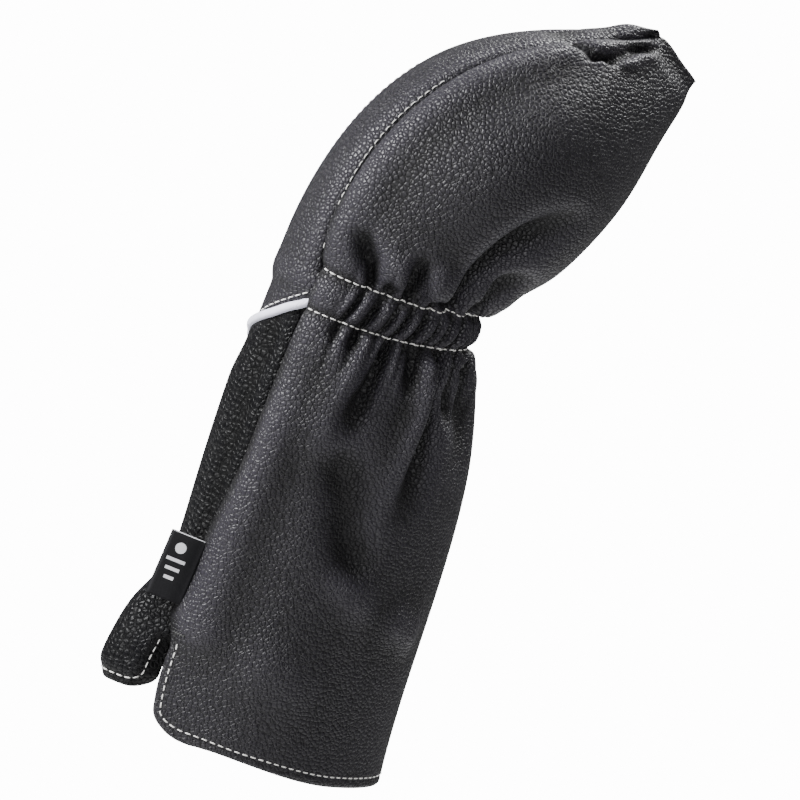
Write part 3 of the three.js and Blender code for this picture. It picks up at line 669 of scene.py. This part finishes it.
LEFT_FOLDS = [
    ([(1.00, 60), (0.92, 60), (0.80, 57), (0.72, 56)], (4, 7, 10), -5.0, (0.01, 0.5)),
    ([(1.00, 84), (0.90, 88), (0.80, 92), (0.66, 95)], (4, 7, 12), -6.5, (0.01, 0.5)),
    ([(0.98, 76), (0.88, 78), (0.76, 82), (0.60, 84)], (6, 9), 3.0, (0.2, 0.6)),
    ([(1.00, 100), (0.92, 104), (0.82, 110), (0.72, 112)], (4, 7), -5.0, (0.01, 0.5)),
    ([(1.00, 114), (0.9, 122), (0.8, 126)], (4, 8), -3.6, (0.01, 0.6)),
    ([(0.70, 50), (0.58, 66), (0.46, 72), (0.38, 84)], (10, 13), -4.0, (0.3, 0.4)),
    ([(0.44, 60), (0.36, 78), (0.30, 100)], (9, 12), 1.0, (0.4, 0.5)),
    ([(2.00, 42), (2.03, 42), (2.09, 36)], (4, 7), -5.0, (0.01, 0.5)),
    ([(2.00, 58), (2.05, 58), (2.13, 60)], (3.5, 6), -5.5, (0.01, 0.5)),
    ([(2.00, 74), (2.07, 78), (2.15, 80)], (3.5, 6), -4.0, (0.01, 0.6)),
    ([(2.00, 92), (2.10, 98), (2.22, 106), (2.40, 112)], (5, 9, 10), -8.0, (0.01, 0.5)),
    ([(2.00, 108), (2.08, 114), (2.2, 122)], (4, 8), -5.0, (0.01, 0.5)),
    ([(2.78, 18), (2.81, 28), (2.86, 34)], (4, 5), -4.0, (0.3, 0.3)),
]


def side_relief(s, a, sign):
    """Height of the side panel over the smooth face at arc length a, both sides counted as plus."""
    edge = a - side_edge(s)
    back = half_girth(s) - a
    up = run_length(s)
    height = pleats(s, a, 0.0 if sign > 0 else 3.2)
    for path, width, rise, ends in (RIGHT_FOLDS if sign > 0 else LEFT_FOLDS):
        height = height + fold(s, a, path, width, rise * FOLD_DEPTH, ends)
    held = 0.65 * bell((up - LOWER_ROW_UP) / 2.6) + 0.8 * bell((up - UPPER_ROW_UP) / 2.8)
    height = height * (1 - held)
    height = height + 1.2 * bell((up - BAND_MIDDLE_UP) / 6) * bell((a - 33) / 7)
    # the elastic's channel stands out between the rows, which pull the leather in
    height = height + 1.1 * bell((up - BAND_MIDDLE_UP) / 5)
    height = height - 1.5 * bell((up - LOWER_ROW_UP) / 2.2) - 1.5 * bell((up - UPPER_ROW_UP) / 2.2)
    height = height + 1.6 * bell((up - 180) / 11) + 2.6 * bell((up - 224) / 13)
    # puffed front edge and sewn seams
    skirt = smooth((0.97 - s) / 0.25) * smooth((s - 0.2) / 0.08)
    head = smooth((s - 2.08) / 0.12) * smooth((2.97 - s) / 0.2)
    puff = 3.8 if sign > 0 else -0.6
    height = height - 1.6 * smooth((s - 2.05) / 0.2) * bell(edge / 30)
    height = height + (4.0 * skirt + puff * head + 1.2) * bell((edge - 9) / 9) * smooth((s - 0.15) / 0.1)
    height = height - (1.8 + 0.8 * head) * bell(edge / (2.8 - 1.0 * head)) * smooth((s - 0.2) / 0.05)
    height = height - 1.3 * bell(back / 1.8) - 0.8 * bell(back / 5)
    # fullness of the head's side, and the toe pressed flat in front and full behind
    height = height + 2.6 * bell((s - 2.42) / 0.24) * bell((a - 66) / 30)
    height = height + 1.6 * bell((s - 2.6) / 0.16) * bell(back / 26)
    above_waist = 3.2 * bell((s - 2.12) / 0.1) * bell(back / 26)
    below_waist = 1.6 * bell((s - 0.97) / 0.1) * bell(back / 20)
    height = height - above_waist - below_waist
    # the far corner of the mouth is drawn in
    if sign < 0:
        height = height - 10.0 * smooth((92 - up) / 80) * bell((edge - 4) / 24)
        waist = smooth((s - 0.8) / 0.2) * smooth((2.1 - s) / 0.2)
        height = height - (5.0 * skirt + 3.0 * waist) * bell(edge / 16)
        height = height - 5.5 * smooth((s - 1.95) / 0.1) * smooth((2.7 - s) / 0.4) * bell(edge / 22)
    return height


def side_slide(s, a, sign):
    """How far the panel's places move along the face: its front edge slides over the strip."""
    edge = a - side_edge(s)
    slide = -seam_overhang(s) * np.exp(-np.clip(edge, 0, None) / 12)
    if sign < 0:
        up = run_length(s)
        slide = slide + 10.0 * smooth((70 - up) / 50) * np.exp(-np.clip(edge, 0, None) / 20)
    return slide


def side_place(s, a, sign, depth):
    """A point of the side panel, at a depth under its surface; the left one is mirrored."""
    moved = a + side_slide(s, a, sign)
    p = face_point(s, moved) + face_normal(s, moved) * (side_relief(s, a, sign) - depth)[..., None]
    back = half_girth(s) - a
    toe_end = 3.2 * bell((s - 2.96) / 0.12) * bell((back - 7) / 13)
    p = p - toe_drop(s, a) - toe_end[..., None] * HEAD_FORWARD
    p[..., 0] *= 1 - bell(back / 3.0) * smooth((s - 2.6) / 0.1)
    p[..., 0] *= 1 - 0.65 * smooth((s - 2.92) / 0.07)
    p[..., 0] = np.maximum(p[..., 0], 0.15) * sign
    low = smooth((40 - run_length(s)) / 40)
    p[..., 2] += low * (2.8 * bell((a - side_edge(s) - 8) / 22) - 2.7 * smooth((a - 58) / 45))
    return p


SIDE_END = 2.996
side_rows = np.concatenate([
    12.0 * (1 - np.cos(np.linspace(0, np.pi / 2, 14))) / SKIRT_HEIGHT,
    np.linspace(14.0 / SKIRT_HEIGHT, 0.90, 92),
    np.linspace(0.905, 1.0, 20)[:-1], np.linspace(1.0, 2.0, 20), np.linspace(2.006, 2.12, 26)[:-1],
    np.linspace(2.12, SIDE_END, 112)])
side_s, side_share = grid(side_rows, 118)
side_a = side_edge(side_s) + (half_girth(side_s) - 0.25 - side_edge(side_s)) * side_share
side_up = run_length(side_s)
side_roll = 0.9 * np.exp(-side_up / 0.8) + 0.35 * bell((side_up - 4.0) / 0.9)
vent_side = (side_a - side_edge(side_s)) + 60 * smooth((side_up - VENT_TOP + 4) / 8)
side_roll = side_roll + 0.9 * np.exp(-vent_side / 0.8) + 0.35 * bell((vent_side - 4.0) / 0.9)
side_back = LEATHER + LEATHER * smooth((HEM_TURN + 1 - side_up) / 1.5)
for tag, sign in (("right", 1), ("left", -1)):
    outer = side_place(side_s, side_a, sign, side_roll)
    inner = side_place(side_s, side_a, sign, np.maximum(side_back - 0.4 * side_roll, side_roll + 0.7))
    # this relief is only used to paint shade into the panel's colour
    relief_shade = local_relief(side_relief(side_s, side_a, sign))
    if sign < 0:
        outer = outer[:, ::-1]
        inner = inner[:, ::-1]
        relief_shade = relief_shade[:, ::-1]
    side_panel = shell("side_panel_" + tag, outer, inner, charcoal_leather, relief_shade)
    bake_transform(side_panel)
    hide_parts("skirt_panel_" + tag, "waist_panel_" + tag, "head_panel_" + tag)

# ---------------------------------------------------------------------------------------------
# Piping: a cord wrapped in pale satin, sewn in across the front where the black strip meets the
# charcoal one, climbing from the left seam to the right one. The cord is a piece of its own.
# ---------------------------------------------------------------------------------------------
PIPING_RADIUS = 1.9
CORD_RADIUS = 1.0
PIPING_REACH = 25.0


def tube(name, centre, normal, radius, sides, look):
    """A closed round bar along points with their outward normals: one ring of points at each."""
    along = np.gradient(centre, axis=0)
    along /= np.linalg.norm(along, axis=-1, keepdims=True)
    across = np.cross(along, normal)
    across /= np.linalg.norm(across, axis=-1, keepdims=True)
    out = np.cross(across, along)
    turn = np.linspace(0, 2 * np.pi, sides, endpoint=False)
    ring = (np.cos(turn)[None, :, None] * out[:, None] + np.sin(turn)[None, :, None] * across[:, None])
    size = np.broadcast_to(radius, len(centre))[:, None, None]
    points = centre[:, None] + ring * size
    count = len(centre)
    index = np.arange(count * sides).reshape(count, sides)
    following = np.roll(index, -1, axis=1)
    quads = np.stack([index[:-1], index[1:], following[1:], following[:-1]], -1).reshape(-1, 4)
    ends = np.concatenate([points.reshape(-1, 3), centre[:1], centre[-1:]])
    first = np.full(sides, count * sides)
    caps = np.concatenate([
        np.stack([index[0], following[0], first, first], -1),
        np.stack([following[-1], index[-1], first + 1, first + 1], -1)])
    piece = put_mesh(name, ends, quads, look)
    cap_faces = [tuple(int(v) for v in row[:3]) for row in caps]
    mesh = piece.data
    loops = np.array(cap_faces).ravel()
    start = len(mesh.loops)
    faces = len(mesh.polygons)
    mesh.loops.add(len(loops))
    mesh.polygons.add(len(cap_faces))
    corner = np.zeros(len(mesh.loops), int)
    mesh.loops.foreach_get("vertex_index", corner)
    corner[start:] = loops
    mesh.loops.foreach_set("vertex_index", corner)
    begin = np.concatenate([np.arange(faces) * 4, start + np.arange(len(cap_faces)) * 3])
    mesh.polygons.foreach_set("loop_start", begin)
    mesh.update(calc_edges=True)
    mesh.validate()
    return piece


def satin():
    """Pale satin: smooth threads that run round the cord, with a soft gleam and small slubs."""
    look = Look("satin_piping")
    place = look.node("ShaderNodeTexCoord", out="Object")
    threads = look.node("ShaderNodeTexWave", {"wave_type": "BANDS", "bands_direction": "X"},
                        {"Vector": place, "Scale": 520, "Distortion": 1.2, "Detail": 1})
    slubs = look.node("ShaderNodeTexNoise", None, {"Vector": place, "Scale": 240, "Detail": 3})
    colour = look.blend_colours(slubs, (0.62, 0.62, 0.75, 1), (0.86, 0.86, 0.97, 1))
    bump = look.node("ShaderNodeBump", None,
                     {"Strength": 0.6, "Distance": 0.00012, "Height": threads + slubs * 0.6})
    return look.shade(Base_Color=colour, Roughness=0.42 + slubs * 0.14, Normal=bump,
                      Sheen_Weight=0.25, Sheen_Roughness=0.4)


satin_finish = satin()
piping_a = np.linspace(-PIPING_REACH, PIPING_REACH, 90)
piping_row = s_for_height(PIPING_HEIGHT + PIPING_CLIMB * piping_a, piping_a)
piping_line = front_place(piping_row, piping_a, np.full(90, -0.3))
piping = tube("piping_satin", piping_line, face_normal(piping_row, piping_a), PIPING_RADIUS, 20, satin_finish)
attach(piping, "skirt")
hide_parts("piping_cover")
piping_core_look = Look("piping_cord")
core_place = piping_core_look.node("ShaderNodeTexCoord", out="Object")
core_twist = piping_core_look.node("ShaderNodeTexWave", {"bands_direction": "DIAGONAL"},
                                   {"Vector": core_place, "Scale": 300, "Distortion": 2})
core_colour = piping_core_look.blend_colours(core_twist, (0.55, 0.54, 0.52, 1), (0.75, 0.74, 0.7, 1))
piping_cord = tube("piping_cord", piping_line, face_normal(piping_row, piping_a), CORD_RADIUS, 12,
                   piping_core_look.shade(Base_Color=core_colour, Roughness=0.8))
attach(piping_cord, "skirt")
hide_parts("piping_core")

# ---------------------------------------------------------------------------------------------
# Topstitching: off-white thread, about four millimetres to the stitch, on the waist's two rows,
# beside the crown seams and the piping, and round the hems of the mouth, vents and tongue.
# ---------------------------------------------------------------------------------------------
STITCH_PITCH = 3.7
STITCH_LENGTH = 2.9
THREAD_RADIUS = 0.32
STITCH_RINGS = 7
STITCH_SIDES = 6


def thread(name, dark, light):
    """Twisted thread: fine slanting plies, a little darker where they meet."""
    look = Look(name)
    place = look.node("ShaderNodeTexCoord", out="Object")
    ply = look.node("ShaderNodeTexWave", {"bands_direction": "DIAGONAL"},
                    {"Vector": place, "Scale": 900, "Distortion": 1.5})
    colour = look.blend_colours(ply, dark, light)
    bump = look.node("ShaderNodeBump", None, {"Strength": 0.5, "Distance": 0.0001, "Height": ply})
    return look.shade(Base_Color=colour, Roughness=0.62, Normal=bump, Sheen_Weight=0.2)


thread_finish = thread("thread", (0.50, 0.49, 0.47, 1), (0.86, 0.85, 0.82, 1))
black_thread_finish = thread("black_thread", (0.004, 0.004, 0.004, 1), (0.02, 0.02, 0.02, 1))


def stitches(name, place, pitch=STITCH_PITCH, length=STITCH_LENGTH, radius=THREAD_RADIUS,
             look=thread_finish):
    """A row of stitches. place gives the surface and its normal for an array of shares of the row.
    Each stitch is a short bar that bows up from the leather and dips into it at both ends."""
    share = np.linspace(0, 1, 500)
    line, _ = place(share)
    reach = np.concatenate([[0], np.cumsum(np.linalg.norm(np.diff(line, axis=0), axis=1))])
    count = max(2, int(round(reach[-1] / pitch)))
    along = (np.arange(count)[:, None] + 0.5) * reach[-1] / count
    t = np.linspace(-1, 1, STITCH_RINGS)
    spots = along + t[None, :] * length / 2
    spots = np.clip(spots, 0, reach[-1])
    centre, normal = place(np.interp(spots, reach, share).ravel())
    centre = centre.reshape(count, STITCH_RINGS, 3)
    normal = normal.reshape(count, STITCH_RINGS, 3)
    centre = centre + normal * (0.30 - 0.62 * t ** 4)[None, :, None]
    direction = np.gradient(centre, axis=1)
    direction /= np.maximum(np.linalg.norm(direction, axis=-1, keepdims=True), 1e-9)
    across = np.cross(direction, normal)
    across /= np.maximum(np.linalg.norm(across, axis=-1, keepdims=True), 1e-9)
    out = np.cross(across, direction)
    turn = np.linspace(0, 2 * np.pi, STITCH_SIDES, endpoint=False)
    thick = radius * np.sqrt(1 - 0.75 * t ** 4)
    ring = np.cos(turn)[:, None] * out[:, :, None] + np.sin(turn)[:, None] * across[:, :, None]
    points = centre[:, :, None] + ring * thick[None, :, None, None]
    index = np.arange(count * STITCH_RINGS * STITCH_SIDES).reshape(count, STITCH_RINGS, STITCH_SIDES)
    following = np.roll(index, -1, axis=2)
    walls = np.stack([index[:, :-1], index[:, 1:], following[:, 1:], following[:, :-1]], -1)
    lower = index[:, 0]
    upper = index[:, -1]
    caps = [np.stack([row[:, k] for k in order], -1) for row, order in (
        (lower, (0, 1, 2, 3)), (lower, (0, 3, 4, 5)), (upper, (3, 2, 1, 0)), (upper, (5, 4, 3, 0)))]
    faces = np.concatenate([walls.reshape(-1, 4)] + caps)
    return put_mesh(name, points, faces, look)


def on_side(sign, s_of, a_of, inset=0.0):
    """Places on a side panel for a row whose s and a are functions of the share along it."""
    def place(share):
        s = s_of(share)
        a = a_of(share)
        d = 0.6
        p = side_place(s, a, sign, np.full(s.shape, inset))
        up = side_place(s + 0.003, a, sign, np.full(s.shape, inset)) - p
        round_it = side_place(s, a + d, sign, np.full(s.shape, inset)) - p
        n = np.cross(round_it, up) * sign
        return p, n / np.maximum(np.linalg.norm(n, axis=-1, keepdims=True), 1e-9)
    return place


def on_strip(place_at, s_of, a_of, inset=0.0):
    """Places on the black or the crown strip for a row given the same way."""
    def place(share):
        s = s_of(share)
        a = a_of(share)
        p = place_at(s, a, np.full(s.shape, inset))
        return p, face_normal(s, a)
    return place


def hem_row_a(share):
    """Arc length along the mouth's stitch row: down the vent, round the corner, to the back."""
    return np.interp(share, hem_share, hem_a)


def hem_row_s(share):
    """s along the same row."""
    return np.interp(share, hem_share, hem_s)


ROW_INSET = 4.0
VENT_INSET = 2.2
HEM_INSET = 5.0
vent_z = np.linspace(VENT_TOP - 1.0, VENT_CORNER, 30)
round_turn = np.linspace(0, np.pi / 2, 24)[1:]
corner_a = strip_half(vent_z[-1:] / SKIRT_HEIGHT) + 0.2 + VENT_GAP * (1 - VENT_CORNER / VENT_TOP)
hem_z = np.concatenate([
    vent_z, VENT_CORNER - (VENT_CORNER - HEM_INSET) * np.sin(round_turn), np.full(80, HEM_INSET)])
round_a = corner_a + VENT_CORNER - (VENT_CORNER - VENT_INSET) * np.cos(round_turn)
hem_a = np.concatenate([
    side_edge(vent_z / SKIRT_HEIGHT) + VENT_INSET, round_a,
    np.linspace(round_a[-1] + 1.5, half_girth(HEM_INSET / SKIRT_HEIGHT) - 1.0, 80)])
hem_s = hem_z / SKIRT_HEIGHT
hem_steps = np.hypot(np.diff(hem_z), np.diff(hem_a))
hem_share = np.concatenate([[0], np.cumsum(hem_steps)])
hem_share /= hem_share[-1]

WAIST_START = 25.8                 # arc length where the waist rows start, at the strip's seam
CROWN_ROW_INSET = 2.2              # the crown's stitches from the strip's seam
for tag, sign in (("right", 1), ("left", -1)):
    waist_end = half_girth(1.0) - 1.0
    lower = stitches("waist_stitches_lower_" + tag, on_side(
        sign, lambda t: np.full(t.shape, 1.0), lambda t: WAIST_START + (waist_end - WAIST_START) * t))
    upper = stitches("waist_stitches_upper_" + tag, on_side(
        sign, lambda t: np.full(t.shape, 2.0), lambda t: WAIST_START + (waist_end - WAIST_START) * t))
    crown = stitches("crown_stitches_" + tag, on_strip(
        crown_place, lambda t: 2.03 + 0.46 * t,
        lambda t, sign=sign: sign * (strip_half(2.03 + 0.46 * t) - CROWN_ROW_INSET)),
        radius=0.22)
    hem = stitches("hem_stitches_" + tag, on_side(sign, hem_row_s, hem_row_a, 0.35))
    for row, node in ((lower, "waist_thread_lower_"), (upper, "waist_thread_upper_"),
                      (crown, "crown_thread_")):
        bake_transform(row)
        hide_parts(node + tag)
    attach(hem, "skirt")
    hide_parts("hem_thread_" + tag)

tongue_turn = np.linspace(0, np.pi / 2, 24)[1:]
tongue_inner = TONGUE_CORNER - ROW_INSET
half_row_a = np.concatenate([
    np.linspace(0, TONGUE_HALF - TONGUE_CORNER, 16),
    TONGUE_HALF - TONGUE_CORNER + tongue_inner * np.sin(tongue_turn),
    np.full(24, TONGUE_HALF - ROW_INSET)])
half_row_z = TONGUE_LIFT + np.concatenate([
    np.full(16, ROW_INSET), TONGUE_CORNER - tongue_inner * np.cos(tongue_turn),
    np.linspace(TONGUE_CORNER + 0.8, VENT_TOP - TONGUE_LIFT - 1.0, 24)])
tongue_row_a = np.concatenate([-half_row_a[:0:-1], half_row_a])
tongue_row_z = np.concatenate([half_row_z[:0:-1], half_row_z])
tongue_row_s = s_for_height(tongue_row_z, tongue_row_a)
tongue_share = np.linspace(0, 1, len(tongue_row_a))
tongue_row = stitches("tongue_stitches", on_strip(
    front_place, lambda t: np.interp(t, tongue_share, tongue_row_s),
    lambda t: np.interp(t, tongue_share, tongue_row_a), 0.35))
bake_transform(tongue_row)
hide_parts("tongue_thread")

PIPING_ROW = 4.7                   # from the piping's middle up to its stitch row
PIPING_ROW_REACH = 23.5            # how far the row goes to each side of the centre front
piping_row_a = np.linspace(-PIPING_ROW_REACH, PIPING_ROW_REACH, 80)
piping_row_s = s_for_height(PIPING_HEIGHT + PIPING_CLIMB * piping_row_a + PIPING_ROW, piping_row_a)
piping_stitches = stitches("piping_stitches", on_strip(
    crown_place, lambda t: np.interp(t, np.linspace(0, 1, 80), piping_row_s),
    lambda t: -PIPING_ROW_REACH + 2 * PIPING_ROW_REACH * t))
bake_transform(piping_stitches)
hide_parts("piping_thread")

# ---------------------------------------------------------------------------------------------
# Linings and elastic: thin dark knit that follows the leather inside, and a flat elastic sewn
# between them along the waist, which gathers both.
# ---------------------------------------------------------------------------------------------


def knit():
    """Brushed knit: rows of small loops, dark grey, with a soft nap."""
    look = Look("knit_lining")
    place = look.node("ShaderNodeTexCoord", out="Object")
    ribs = look.node("ShaderNodeTexWave", {"bands_direction": "X"},
                     {"Vector": place, "Scale": 160, "Distortion": 0.6})
    loops = look.node("ShaderNodeTexWave", {"bands_direction": "Z"},
                      {"Vector": place, "Scale": 220, "Distortion": 0.8})
    nap = look.node("ShaderNodeTexNoise", None, {"Vector": place, "Scale": 900, "Detail": 3})
    weave = ribs * loops
    colour = look.blend_colours(weave * 0.6 + nap * 0.4, (0.012, 0.012, 0.013, 1), (0.06, 0.06, 0.064, 1))
    bump = look.node("ShaderNodeBump", None,
                     {"Strength": 0.8, "Distance": 0.0003, "Height": weave + nap * 0.4})
    return look.shade(Base_Color=colour, Roughness=0.9, Normal=bump, Sheen_Weight=0.4)


knit_finish = knit()


def band_room(s):
    """Extra depth of the lining behind the elastic."""
    up = run_length(s)
    return 1.5 * smooth((up - 188) / 6) * smooth((214 - up) / 6)


LINING_GAP = 1.0                   # between the leather's back and the lining
LINING_CLOTH = 0.8
lining_rows = np.concatenate([
    np.linspace(0.055, 0.9, 44), np.linspace(0.91, 2.12, 40), np.linspace(2.13, 2.93, 50)])
lining_s, lining_share = grid(lining_rows, 60)
lining_from = np.maximum(side_edge(lining_s), strip_half(lining_s)) + 1.4
lining_a = lining_from + (half_girth(lining_s) - 1.0 - lining_from) * lining_share
for tag, sign in (("right", 1), ("left", -1)):
    deep = LEATHER + LINING_GAP + band_room(lining_s)
    hem_room = LEATHER * smooth((HEM_TURN + 3 - run_length(lining_s)) / 3)
    outer = side_place(lining_s, lining_a, sign, deep + hem_room)
    inner = side_place(lining_s, lining_a, sign, deep + hem_room + LINING_CLOTH)
    if sign < 0:
        outer = outer[:, ::-1]
        inner = inner[:, ::-1]
    lining = shell("lining_" + tag, outer, inner, knit_finish)
    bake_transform(lining)
    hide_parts("skirt_lining_" + tag, "head_lining_" + tag)

crown_lining_rows = np.concatenate([np.linspace(0.99, 2.1, 24), np.linspace(2.13, 2.90, 40)])
crown_lining_s, crown_lining_share = grid(crown_lining_rows, 20)
crown_lining_inset = 1.6 * smooth((2.9 - crown_lining_s) / 0.4)
crown_lining_a = (2 * crown_lining_share - 1) * (strip_half(crown_lining_s) - crown_lining_inset)
crown_lining_depth = LEATHER + LINING_GAP + band_room(crown_lining_s)
crown_lining = shell(
    "lining_crown", crown_place(crown_lining_s, crown_lining_a, crown_lining_depth),
    crown_place(crown_lining_s, crown_lining_a, crown_lining_depth + LINING_CLOTH), knit_finish)
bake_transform(crown_lining)
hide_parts("crown_lining", "waist_front_lining", "waist_lining")

front_lining_z, front_lining_share = grid(np.linspace(TONGUE_LIFT + 11, 187, 70), 20)
front_lining_a = (2 * front_lining_share - 1) * (np.minimum(strip_edge(front_lining_z), 24) - 3.4)
front_lining_s = s_for_height(front_lining_z, front_lining_a)
front_lining = shell(
    "lining_front", front_place(front_lining_s, front_lining_a, LEATHER + LINING_GAP),
    front_place(front_lining_s, front_lining_a, LEATHER + LINING_GAP + LINING_CLOTH), knit_finish)
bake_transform(front_lining)
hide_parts("front_lining", "tongue_facing")

elastic_look = Look("elastic")
elastic_place = elastic_look.node("ShaderNodeTexCoord", out="Object")
elastic_cords = elastic_look.node("ShaderNodeTexWave", {"bands_direction": "Z"},
                                  {"Vector": elastic_place, "Scale": 260, "Distortion": 0.3})
elastic_colour = elastic_look.blend_colours(elastic_cords, (0.05, 0.05, 0.05, 1), (0.15, 0.15, 0.15, 1))
elastic_bump = elastic_look.node("ShaderNodeBump", None, {"Distance": 0.0003, "Height": elastic_cords})
elastic_finish = elastic_look.shade(Base_Color=elastic_colour, Roughness=0.8, Normal=elastic_bump)
elastic_s, elastic_share = grid(np.linspace(1.2, 1.8, 6), 140)
elastic_a = 27 + (half_girth(elastic_s) - 0.2 - 27) * elastic_share
elastic_layers = []
for depth in (LEATHER + 0.2, LEATHER + 1.2):
    right_half = side_place(elastic_s, elastic_a, 1, depth)
    left_half = side_place(elastic_s, elastic_a, -1, depth)[:, ::-1]
    elastic_layers.append(np.concatenate([right_half, left_half], axis=1))
elastic = shell("elastic_band", elastic_layers[0], elastic_layers[1], elastic_finish)
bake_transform(elastic)
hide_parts("waist_elastic")

# ---------------------------------------------------------------------------------------------
# Bar tacks: a short dense zigzag of black thread over the top of each vent, which keeps the
# seam above the vent from tearing open.
# ---------------------------------------------------------------------------------------------
TACK_LEGS = 8
TACK_HEIGHT = 46.5                 # lower edge of the zigzag above the mouth
for tag, sign in (("right", 1), ("left", -1)):
    tack = stitches("bar_tack_threads_" + tag, on_side(
        sign, lambda t: (TACK_HEIGHT + 0.8 * np.abs((t * TACK_LEGS) % 2 - 1)) / SKIRT_HEIGHT,
        lambda t: strip_half(TACK_HEIGHT / SKIRT_HEIGHT) + 1.6 + 3.6 * t),
        0.8, 0.75, look=black_thread_finish)
    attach(tack, "skirt")
    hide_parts("bar_tack_" + tag)

# ---------------------------------------------------------------------------------------------
# Woven label: a black damask ribbon folded into an open loop and caught in the right front seam,
# with a plain woven device of a ball and three bars, and pale floats on the inside of the loop.
# ---------------------------------------------------------------------------------------------
LABEL_WIDTH = 29.0
LABEL_REACH = 15.0
LABEL_FOOT = 59.0
LABEL_CLOTH = 0.6
LABEL_LOOP = 3.2
LABEL_TURN = math.radians(18)
LABEL_FORWARD = 4.0                # its sewn edge is this far in front of the seam, under the puffed edge


def woven():
    """Fine damask: rib of the weft, with a white device where the mark attributes call for it."""
    look = Look("woven_label")
    place = look.node("ShaderNodeTexCoord", out="Object")
    along = look.node("ShaderNodeAttribute", {"attribute_name": "along"}, None, "Fac")
    across = look.node("ShaderNodeAttribute", {"attribute_name": "across"}, None, "Fac")
    inside = look.node("ShaderNodeAttribute", {"attribute_name": "inside"}, None, "Fac")
    weft = look.node("ShaderNodeTexWave", {"bands_direction": "Z"}, {"Vector": place, "Scale": 700})
    fuzz = look.node("ShaderNodeTexNoise", None, {"Vector": place, "Scale": 1500, "Detail": 2})

    def within(value, middle, half):
        """1 where the value is less than half away from the middle, else 0."""
        off = value.maths("ABSOLUTE", value - middle)
        return off.maths("LESS_THAN", off, half)

    ball = ((along - 23.0) ** 2 + (across - 8.6) ** 2)
    device = ball.maths("LESS_THAN", ball, 5.8)
    for middle, half in ((17.4, 4.2), (13.4, 3.2), (9.4, 2.2)):
        device = device.highest(within(along, middle, 0.75) * within(across, 8.6, half))
    yarn = device.highest(inside * 0.85)
    black = look.blend_colours(weft * 0.6 + fuzz * 0.4, (0.002, 0.002, 0.0025, 1), (0.012, 0.012, 0.014, 1))
    white = look.blend_colours(weft * 0.6 + fuzz * 0.4, (0.42, 0.42, 0.45, 1), (0.75, 0.75, 0.78, 1))
    bump = look.node("ShaderNodeBump", None,
                     {"Strength": 0.6, "Distance": 0.0001, "Height": weft + yarn * 0.8})
    return look.shade(Base_Color=look.blend_colours(yarn, black, white), Roughness=0.62 - yarn * 0.12,
                      Normal=bump, Specular_IOR_Level=0.12)


label_low_s = s_for_height(np.array(LABEL_FOOT), np.array(20.0))
label_high_s = s_for_height(np.array(LABEL_FOOT + LABEL_WIDTH), np.array(20.0))
label_mid_s = s_for_height(np.array(LABEL_FOOT + LABEL_WIDTH / 2), np.array(20.0))


def label_seat(s, rise):
    """A point of the label's sewn edge at s, raised over the smooth face."""
    a = strip_half(s) - LABEL_FORWARD
    return face_point(s, a) + face_normal(s, a) * rise


label_up = label_seat(label_high_s, LABEL_LOOP / 2) - label_seat(label_low_s, LABEL_LOOP / 2)
label_up /= np.linalg.norm(label_up)
label_out = np.array([-math.sin(LABEL_TURN), -math.cos(LABEL_TURN), 0])
label_out -= label_up * (label_out @ label_up)
label_out /= np.linalg.norm(label_out)
label_thick = -np.cross(label_out, label_up)
label_bend = LABEL_REACH - LABEL_LOOP / 2
label_straight = np.linspace(-1.0, label_bend, 16)
label_turns = np.linspace(np.pi / 2, -np.pi / 2, 13)[1:-1]


def label_profile(radius):
    """Section of the loop: two layers that close at the seam, joined by a round bend outside."""
    pinch = 0.75 * bell(label_straight / 3.5)
    layer = radius - pinch * radius * 0.7
    reach = np.concatenate([label_straight, label_bend + radius * np.cos(label_turns), label_straight[::-1]])
    side = np.concatenate([layer, radius * np.sin(label_turns), -layer[::-1]])
    return reach, side


label_rows = np.linspace(-0.5, 0.5, 26)
label_faces = []
for radius in (LABEL_LOOP / 2, LABEL_LOOP / 2 - LABEL_CLOTH):
    reach, side = label_profile(radius)
    base = label_seat(label_mid_s, LABEL_LOOP / 2 + 0.9)
    rows = base + label_rows[:, None, None] * LABEL_WIDTH * label_up
    ripple = 0.25 * np.sin(label_rows * 7.0)[:, None, None] * (reach / LABEL_REACH)[None, :, None]
    label_faces.append(rows + reach[None, :, None] * label_out
                       + (side[None, :, None] + ripple) * label_thick)
label = shell("label_loop", label_faces[0], label_faces[1], woven())
label_reach, label_side = label_profile(LABEL_LOOP / 2)
label_count = len(label_rows) * len(label_reach)
label_along = np.repeat((label_rows + 0.5) * LABEL_WIDTH, len(label_reach))
label_across = np.tile(np.where(label_side >= 0, label_reach, -5.0), len(label_rows))
for key, values in (("along", np.tile(label_along, 2)), ("across", np.tile(label_across, 2)),
                    ("inside", np.repeat([0.0, 1.0], label_count))):
    attribute = label.data.attributes.new(key, "FLOAT", "POINT")
    attribute.data.foreach_set("value", values.astype(np.float32))
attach(label, "label")
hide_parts("woven_label")
